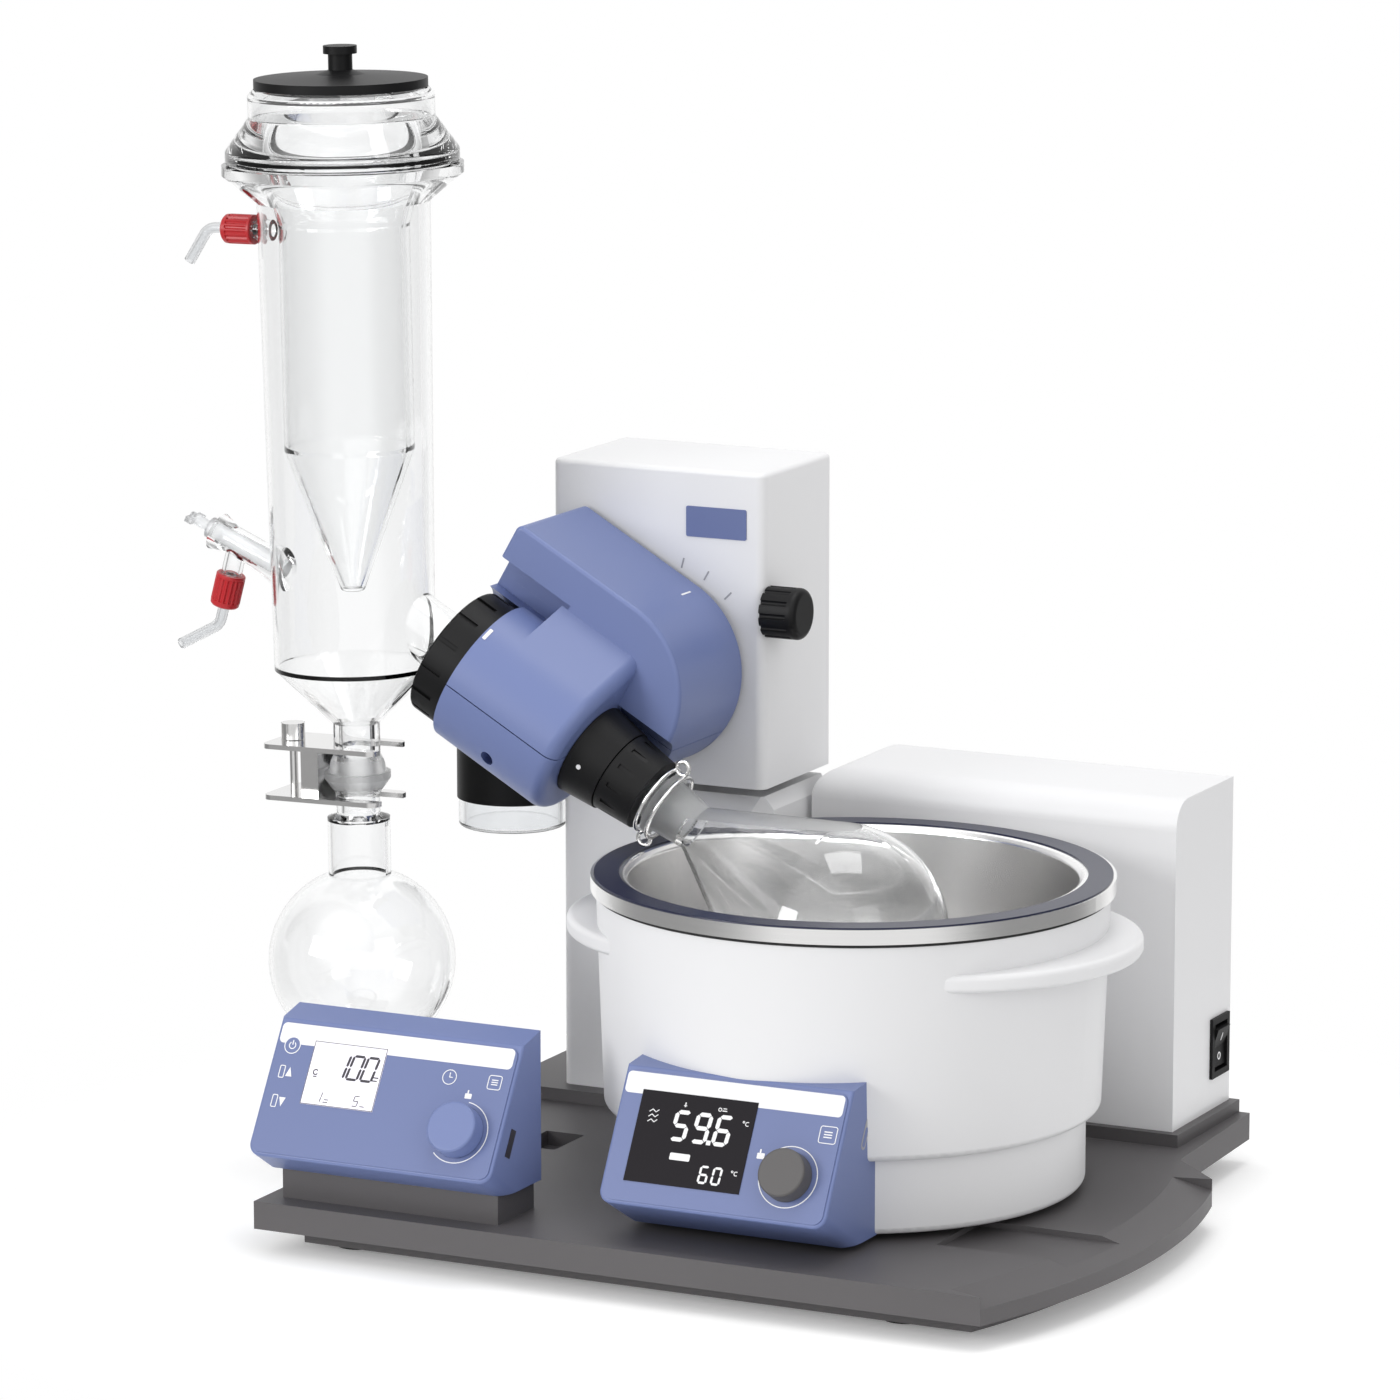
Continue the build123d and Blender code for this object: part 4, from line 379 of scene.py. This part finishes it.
def plate(name, shapes, place, low, high, finish, body, slot):  # flat outlines raised a little off a face
    mesh = bmesh.new()
    for shape in shapes:
        under = [mesh.verts.new((x * mm, y * mm, low * mm)) for x, y in shape]
        over = [mesh.verts.new((x * mm, y * mm, high * mm)) for x, y in shape]
        mesh.faces.new(over)
        mesh.faces.new(under[::-1])
        for i in range(len(shape)):
            j = (i + 1) % len(shape)
            mesh.faces.new((under[i], under[j], over[j], over[i]))
    mesh.transform(place)
    return addPiece(name, mesh, finish, body)


def turned(mesh, profile, place, steps=48, rib=0.0):  # (radius, height, ribbed) points turned about local z
    rings = []
    for radius, height, ribbed in profile:
        ring = []
        for i in range(steps):
            r = radius - (rib if ribbed and i % 4 > 1 else 0.0)
            a = math.tau * i / steps
            ring.append(mesh.verts.new(place @ (Vector((r * math.cos(a), r * math.sin(a), height)) * mm)))
        rings.append(ring)
    for lower, upper in zip(rings, rings[1:] + rings[:1]):
        for i in range(steps):
            j = (i + 1) % steps
            mesh.faces.new((lower[i], lower[j], upper[j], upper[i]))


def celsius(x, y, size):  # the degree sign and its letter
    return ringOf(x, y + size * 0.8, size * 0.22, size * 0.12, steps=12) + ringOf(
        x + size * 0.75, y + size * 0.5, size * 0.42, size * 0.14, 50, 310, 14)


def handMark(x, y, size):  # a pointing hand
    palm = roundRect(x - size, y - size * 0.82, x + size, y + size * 0.65, size * 0.22)
    return [palm, bar(x - size * 0.26, y + size * 0.56, x - size * 0.26, y + size * 1.6, size * 0.41)]


podDress = {
    "face": {"centre": -169.5, "foot": (-226.463, 62.04), "tilt": 31.5}, "body": "stand",
    "print": (0.7, 0.92), "glass": (1.1, 1.3),
    "stripe": (-79.0, 70.4, 77.6, 83.2, 3.0), "knob": (53.8, 28.9, 19.2), "arc": (-132.0, 84.0),
    "power": (-69.3, 69.4, 5.4), "arrows": ((-70.3, 52.6, 1), (-70.3, 34.2, -1)),
    "timer": (39.0, 61.6, 4.7), "set": (64.6, 57.0, 73.6, 66.0), "hand": (54.2, 51.6),
    "digits": ("100", -38.0, 52.6, 14.6, 1.6, 9.6, 0.16), "turns": (-49.2, 54.6, 1.9, 0.7),
    "small": (("1", -45.0), ("5", -20.0)), "smallType": (36.6, 6.2, 0.5, 5.0, 0.16),
    "edge": (-54.4, 34.5, -5.6, 73.8, 0.0, 0.35), "line": 0.55, "thinLine": 0.5,
    "side": -88.0, "slotSet": (-0.4, 0.25),
    "arrow": ((1.3, -2.6), (5.6, -2.6), (3.45, 3.2)), "arrowBox": (-3.4, -4.0, 0.4, 4.0, 0.9),
    "setLines": (3.2, 4.6, 6.0), "setInset": 2.4, "handSize": 2.2,
    "slot": ((-206.6, 74.4), (-201.0, 71.6), (-192.2, 86.4), (-197.8, 89.2)),
    "units": ((-39.6, 36.8, 3.2, 0.5), (-38.9, 38.4, 2.7, 0.5), (-14.6, 36.8, 3.0, 0.5),
              (-11.4, 53.4, 4.0, 0.7), (-11.0, 55.4, 4.0, 0.7), (-50.4, 51.9, 2.4, 0.6)),
}


def dressPod(d):
    place = facePlane(d["face"])
    low, high = d["print"]
    plate("podStripe", [roundRect(*d["stripe"])], place, low, high, inkWhite, d["body"], "white_shell")
    px, py, pr = d["power"]
    plate("podPowerKey", [arcLoop(px, py, pr - 0.5, 0, 360, 40)[:-1]], place, low, high + 0.06,
          finishes["blue_panel"], d["body"], "blue_panel")
    white = ringOf(px, py, pr, d["line"]) + ringOf(px, py, pr * 0.45, 0.6, 125, 415, 20)
    white.append(bar(px, py + 0.3, px, py + pr * 0.6, 0.7))
    for ax, ay, way in d["arrows"]:
        white.append([(ax + x, ay + y * way) for x, y in d["arrow"]])
        bx0, by0, bx1, by1, br = d["arrowBox"]
        white += boxLine(ax + bx0, ay + by0, ax + bx1, ay + by1, br, d["line"])
    tx, ty, tr = d["timer"]
    white += ringOf(tx, ty, tr, d["thinLine"])
    white += [bar(tx, ty, tx, ty + tr * 0.6, d["line"]), bar(tx, ty, tx + tr * 0.45, ty, d["line"])]
    sx0, sy0, sx1, sy1 = d["set"]
    white += boxLine(sx0, sy0, sx1, sy1, 1.6, d["thinLine"])
    inset = d["setInset"]
    white += [bar(sx0 + inset, sy0 + y, sx1 - inset, sy0 + y, 0.6) for y in d["setLines"]]
    white += handMark(*d["hand"], d["handSize"])
    kx, ky, kr = d["knob"]
    white += ringOf(kx, ky, kr, 0.6, *d["arc"], 60)
    plate("podPrint", white, place, low, high + 0.1, inkWhite, d["body"], "white_shell")
    dark = sevenSegments(*d["digits"])
    for text, x in d["small"]:
        dark += sevenSegments(text, x, *d["smallType"])
    dark += [bar(x, y, x + run, y, width) for x, y, run, width in d["units"]]
    dark += ringOf(*d["turns"], 40, 330, 16)
    dark += boxLine(*d["edge"])
    plate("podFigures", dark, place, *d["glass"], inkDark, d["body"], "black_plastic")
    # the side slot drawn as a flat dark plate: painted shade for the inside of the opening
    side = planeAt((d["side"], 0, 0), (0, 1, 0), (1, 0, 0))
    plate("podSlotShade", [d["slot"]], side, *d["slotSet"], inkDark, d["body"], "black_plastic")


bathDress = {
    "face": {"centre": 48.0, "foot": (-211.6, 56.362), "tilt": 29.0}, "body": "stand",
    "print": (0.7, 0.92), "glass": (1.1, 1.3),
    "stripe": (-70.6, 66.6, 69.4, 79.6, 2.6), "knob": (44.3, 28.0, 18.6), "set": (57.8, 50.2, 69.0, 60.8),
    "hand": (24.4, 38.6), "figures": ("59.6", -34.6, 42.0, 16.4, 2.5, 13.6, 0.08),
    "setting": ("60", -11.4, 18.2, 9.6, 1.35, 8.4, 0.06), "box": (-32.6, 29.6, -19.6, 33.8, 0.8),
    "slot": (-155.0, 100.0), "slotSize": (-3.0, -9.5, 3.0, 9.5, 3.0), "keySize": (-1.7, -8.0, 1.7, 4.0, 1.7),
    "side": 121.0, "degrees": ((9.4, 54.2, 3.4), (9.0, 24.2, 3.4)), "heatRows": (50.6, 53.6, 56.6),
    "heatWave": ((-51.6, 0.0), (-49.6, 1.6), (-47.4, 0.0), (-45.6, 1.6)), "clock": (-7.2, 62.6, 1.2, 0.45),
    "slotSet": (-0.4, 0.2), "keySet": (0.0, 0.35), "setLines": (3.8, 5.4, 7.0), "setInset": 3.0, "handSize": 2.4,
    "dashes": ((-29.6, 61.6, -29.6, 64.4, 0.7), (-30.6, 62.4, -28.6, 62.4, 0.5),
               (-5.6, 62.0, -2.6, 62.0, 0.6), (-5.2, 63.4, -3.0, 63.4, 0.5)),
}


def leaned(loop, d):  # an outline on the panel's side, turned to the slope of its face
    slope = math.radians(d["face"]["tilt"])
    c, s = math.cos(slope), math.sin(slope)
    atY, atZ = d["slot"]
    return [(x * c + y * s + atY, y * c - x * s + atZ) for x, y in loop]


def dressBath(d):
    place = facePlane(d["face"])
    low, high = d["print"]
    plate("bathStripe", [roundRect(*d["stripe"])], place, low, high, inkWhite, d["body"], "white_shell")
    kx, ky, kr = d["knob"]
    white = ringOf(kx, ky, kr, 0.6, steps=64)
    sx0, sy0, sx1, sy1 = d["set"]
    white += boxLine(sx0, sy0, sx1, sy1, 1.6, 0.5)
    inset = d["setInset"]
    white += [bar(sx0 + inset, sy0 + y, sx1 - inset, sy0 + y, 0.7) for y in d["setLines"]]
    white += handMark(*d["hand"], d["handSize"])
    plate("bathPrint", white, place, low, high + 0.1, inkWhite, d["body"], "white_shell")
    lit = sevenSegments(*d["figures"]) + sevenSegments(*d["setting"])
    lit.append(roundRect(*d["box"]))
    for spot in d["degrees"]:
        lit += celsius(*spot)
    for row in d["heatRows"]:  # rising heat
        lit += path([(x, row + y) for x, y in d["heatWave"]], 0.5)
    lit += [bar(*dash) for dash in d["dashes"]] + ringOf(*d["clock"], steps=14)
    plate("bathFigures", lit, place, *d["glass"], inkWhite, d["body"], "white_shell")
    # the side slot drawn as a grey plate round the blue key: painted shade for the recess round the key
    side = planeAt((d["side"], 0, 0), (0, 1, 0), (1, 0, 0))
    outline = leaned(roundRect(*d["slotSize"]), d)
    plate("bathSlot", [outline], side, *d["slotSet"], inkGrey, d["body"], "dark_grey")
    inner = leaned(roundRect(*d["keySize"]), d)
    plate("bathSlotKey", [inner], side, *d["keySet"], finishes["blue_shell"], d["body"], "blue_shell")


dressPod(podDress)
dressBath(bathDress)
print("panels dressed")

towerDress = {
    "front": 79.4, "badge": (-111.0, 398.0, -70.0, 417.0, 1.2), "ticks": (15, 30, 46), "reach": (64.0, 70.5),
    "badgeSet": (-0.3, 0.7), "tickSet": (-0.3, 0.25), "tickWidth": 1.0,
}


def dressTower(d):
    front = planeAt((0, d["front"], 0), (1, 0, 0), (0, -1, 0))
    badge = roundRect(*d["badge"])
    plate("badgePlate", [badge], front, *d["badgeSet"], finishes["blue_panel"], "lift", "blue_panel")
    near, far = d["reach"]
    ticks = []
    for angle in d["ticks"]:
        across, rise = math.sin(math.radians(angle)), math.cos(math.radians(angle))
        start, end = (pivotX + across * near, pivotZ + rise * near), (pivotX + across * far, pivotZ + rise * far)
        ticks.append(bar(*start, *end, d["tickWidth"]))
    plate("tiltTicks", ticks, front, *d["tickSet"], inkGrey, "lift", "dark_grey")


headDress = {
    "rimMark": (-60.5, 47.0, 131.0), "index": (2.0, 55.0, 60.0), "dot": (30.0, 28.85, 181.5),
    "rotor": (-21.0, -28.3), "rimShape": (-1.2, -4.2, 1.2, 4.2, 0.5), "rimSet": (-0.6, 0.25),
    "indexShape": (-0.6, -6.0, 0.6, 6.0, 0.3), "indexSet": (-0.4, 0.2), "dotRadius": 1.5, "dotSet": (-0.4, 0.3),
}


def rotorPlane(d, reach, radius, angle):  # a face on a cylinder round the rotor's axis
    ring = math.radians(angle)
    out = Vector((0, math.cos(ring), 0)) + upward * math.sin(ring)
    return planeAt(headPoint(reach, *d["rotor"]) + out * radius, along, out)


def dressHead(d):
    place = rotorPlane(d, *d["rimMark"])
    plate("rimMark", [roundRect(*d["rimShape"])], place, *d["rimSet"], inkWhite, "head", "white_shell")
    place = planeAt(headPoint(*d["index"]), along, upward)
    plate("tiltIndex", [roundRect(*d["indexShape"])], place, *d["indexSet"], inkWhite, "head", "white_shell")
    place = rotorPlane(d, *d["dot"])
    dot = arcLoop(0, 0, d["dotRadius"], 0, 360, 20)[:-1]
    plate("collarDot", [dot], place, *d["dotSet"], inkWhite, "rotor", "white_shell")


dressTower(towerDress)
dressHead(headDress)
print("tower and head marked")

capDress = {
    "radius": 9.2, "length": 21.0, "hole": 3.56, "ribs": 18, "ribDepth": 0.85,
    "upper": (211.0, 62.0), "valve": (2.0, 49.5, 24.0, 88.0, 16.0, 20.5),
}


def makeCaps(d):
    r, length, hole = d["radius"], d["length"], d["hole"]
    profile = [(hole, 0, 0), (r - 0.6, 0, 0), (r, 0.7, 0), (r, 2.0, 0), (r, 2.6, 1), (r, length - 4.2, 1)]
    profile += [(r, length - 3.6, 0), (r - 0.2, length - 1.2, 0)]
    profile += [(r - 1.2, length - 0.1, 0), (hole, length - 0.1, 0)]
    height, reach = d["upper"]
    base, wall, angle, at, tip, start = d["valve"]
    slope, tip = math.radians(angle), math.radians(tip)
    arm = columnUp * math.sin(slope) - columnOut * math.cos(slope)
    down = -columnUp * math.cos(tip) - columnOut * math.sin(tip)
    armFoot = columnPoint(base - math.tan(slope) * wall)
    mesh = bmesh.new()
    for origin, axis in ((columnPoint(height, -reach), -columnOut), (armFoot + arm * at + down * start, down)):
        turned(mesh, profile, axisPlane(origin, axis), d["ribs"] * 4, d["ribDepth"])
    piece = addPiece("screwCaps", mesh, finishes["red_cap"], "head")
    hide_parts("hose_caps")


rimDress = {"centre": (50.0, -21.0), "radius": 154.7, "inner": 153.2, "top": 213.0, "drop": 2.2}


# a thin dark rubber band under the bath's rim: painted shade that stands for the shadow gap below the rim
def makeRimShadowBand(d):
    mesh = bmesh.new()
    place = planeAt((*d["centre"], 0), (1, 0, 0), (0, 0, 1))
    low, high = d["top"] - d["drop"], d["top"]
    turned(mesh, [(d["inner"], low, 0), (d["radius"] - 0.3, low, 0), (d["radius"], low + 0.4, 0),
                  (d["radius"], high, 0), (d["inner"], high, 0)], place, 144)
    addPiece("rimShadowBand", mesh, finishes["rubber"], "stand", True)


makeCaps(capDress)
makeRimShadowBand(rimDress)
print("caps and rim made")

rockerDress = {"origin": (188.0, 216.0, 79.0), "swing": 8.0, "waist": 2.4, "proud": 4.4, "half": 12.6,
               "markSet": (-0.3, 0.2)}


def markRocker(d):
    swing = math.radians(d["swing"])
    out = Vector((math.cos(swing), 0, -math.sin(swing)))
    down = Vector((-math.sin(swing), 0, -math.cos(swing)))
    marks = ((-1, "rockerOn", [roundRect(-0.5, -2.6, 0.5, 2.6, 0.3)]),
             (1, "rockerOff", ringOf(0, 0, 2.5, 0.9, steps=28)))
    for way, name, shapes in marks:
        middle = Vector(d["origin"]) + out * (d["waist"] + d["proud"]) / 2 + down * (way * d["half"] / 2)
        run = (out * (d["proud"] - d["waist"]) + down * (way * d["half"])).normalized()
        face = run.cross(Vector((0, 1, 0)))
        face = face if face.x > 0 else -face
        place = planeAt(middle, (0, 1, 0), face)
        plate(name, shapes, place, *d["markSet"], inkWhite, "power_rocker", "white_shell")


def screwHeads(name, places, r, body):  # socket heads
    socket = 0.38 * r
    profile = [(socket, 0.6, 0), (socket, 1.6, 0), (0.75 * r, 1.6, 0), (r, 0.8, 0), (r, -0.3, 0), (socket, -0.3, 0)]
    mesh = bmesh.new()
    for place in places:
        turned(mesh, profile, place, 24)
    addPiece(name, mesh, finishes["steel"], body)


backDress = {
    "face": 235.0, "vents": (-28.5, 120.0, 9, 7.0, 3.0, 44.0), "plate": (-34.0, 60.0, 30.0, 88.0, 2.0),
    "screws": ((-46.0, 58.0), (-46.0, 222.0), (180.0, 58.0), (180.0, 222.0)), "screw": 3.2,
    "ventSet": (-0.3, 0.15), "plateSet": (-0.2, 0.5),
    "towerFace": 177.4, "towerScrews": ((-191.0, 256.0), (-191.0, 427.0), (-71.0, 256.0), (-71.0, 427.0)),
}


def dressBack(d):
    back = planeAt((0, d["face"], 0), (-1, 0, 0), (0, 1, 0))
    x, z, count, pitch, wide, tall = d["vents"]
    # vent openings drawn as flat dark plates: painted shade for the dark inside of the openings
    slots = [roundRect(-x - i * pitch, z, wide - x - i * pitch, z + tall, wide / 2) for i in range(count)]
    plate("rearVentShade", slots, back, *d["ventSet"], inkDark, "stand", "black_plastic")
    x0, z0, x1, z1, r = d["plate"]
    outline = roundRect(-x1, z0, -x0, z1, r)
    plate("barePlate", [outline], back, *d["plateSet"], finishes["aluminium"], "stand", "aluminium")
    places = [planeAt((x, d["face"], z), (1, 0, 0), (0, 1, 0)) for x, z in d["screws"]]
    screwHeads("rearScrews", places, d["screw"], "stand")
    places = [planeAt((x, d["towerFace"], z), (1, 0, 0), (0, 1, 0)) for x, z in d["towerScrews"]]
    screwHeads("towerScrews", places, d["screw"], "lift")


panDress = {
    "bottom": 4.0, "screw": 4.0,
    "places": ((-200.0, -60.0), (-200.0, 120.0), (-60.0, 190.0), (60.0, -170.0), (100.0, 190.0), (190.0, -60.0)),
}


def dressPan(d):
    places = [planeAt((x, y, d["bottom"]), (1, 0, 0), (0, 0, -1)) for x, y in d["places"]]
    screwHeads("panScrews", places, d["screw"], "stand")


markRocker(rockerDress)
dressBack(backDress)
dressPan(panDress)
print("switch, back and underside dressed")

studio = {
    "floor": 1.0, "fade": (0.33, 0.56), "floorColour": (0.93, 0.93, 0.93), "floorGlow": 0.2, "sky": 0.76,
    "boxTurn": 0.5, "boxRise": 0.75, "mirrored": (0.78, 0.5, 0.22, 0.3, 1.1), "aim": (0, 0, 0.25),
    "lamps": (("keyLamp", (-2.0, -2.9, 1.35), 1.3, 46.0), ("fillLamp", (2.6, -1.6, 1.5), 1.6, 12.0),
              ("topLamp", (0.15, 0.1, 2.2), 1.0, 12.0)),
}


def makeStudio(studio, shot):
    bpy.ops.mesh.primitive_plane_add(size=studio["floor"] * 2)
    floor = bpy.context.object
    floor.name = "floor"
    paint = Paint("floorWhite", roughness=0.9, emissionStrength=studio["floorGlow"], emissionColor=(1, 1, 1))
    away = paint.vector("LENGTH", paint.place(), out=1)
    paint.put(
        alpha=1.0 - paint.ramp(away, *studio["fade"]),
        baseColor=paint.mix(paint.noise(30.0), shade(studio["floorColour"], 0.995), studio["floorColour"]),
    )
    floor.data.materials.append(paint.material)
    world = bpy.data.worlds.new("studioWorld")
    scene.world = world
    world.use_nodes = True
    graph = Graph(world.node_tree)
    turn = math.radians(shot["azimuth"])
    ray = graph.node("ShaderNodeTexCoord", out="Generated")
    behind = graph.ramp(graph.vector("DOT_PRODUCT", ray, (-math.sin(turn), math.cos(turn), 0), 1), 0.35, 0.9)
    beside = graph.ramp(abs(graph.vector("DOT_PRODUCT", ray, (math.cos(turn), math.sin(turn), 0), 1)), 0.5, 0.92)
    above = graph.ramp(graph.vector("DOT_PRODUCT", ray, (0, 0, 1), 1), 0.4, 0.8)
    level, dim, rear, top, front = studio["mirrored"]
    swing = turn - studio["boxTurn"]
    boxAim = Vector((math.sin(swing), -math.cos(swing), studio["boxRise"])).normalized()
    softBox = graph.ramp(graph.vector("DOT_PRODUCT", ray, tuple(boxAim), 1), 0.72, 0.9)
    shown = graph.node("ShaderNodeBackground", {}, {
        0: (1, 1, 1), 1: level - beside * dim + behind * rear + above * top + softBox * front})
    plain = graph.node("ShaderNodeBackground", {}, {0: (1, 1, 1), 1: studio["sky"]})
    white = graph.node("ShaderNodeBackground", {}, {0: (1, 1, 1), 1: 1.0})
    mirrored = graph.node("ShaderNodeLightPath", out="Is Glossy Ray").orMore(
        graph.node("ShaderNodeLightPath", out="Is Transmission Ray"))
    studioLight = graph.node("ShaderNodeMixShader", {}, {0: mirrored, 1: plain, 2: shown})
    seen = graph.node("ShaderNodeLightPath", out="Is Camera Ray")
    final = graph.node("ShaderNodeMixShader", {}, {0: seen, 1: studioLight, 2: white})
    graph.feed(world.node_tree.nodes["World Output"].inputs[0], final)
    for name, place, size, power in studio["lamps"]:
        data = bpy.data.lights.new(name, "AREA")
        data.size, data.energy = size, power
        lamp = bpy.data.objects.new(name, data)
        lamp.location = place
        lamp.rotation_euler = (Vector(studio["aim"]) - Vector(place)).to_track_quat("-Z", "Y").to_euler()
        scene.collection.objects.link(lamp)


makeStudio(studio, shot)
print("studio lit")
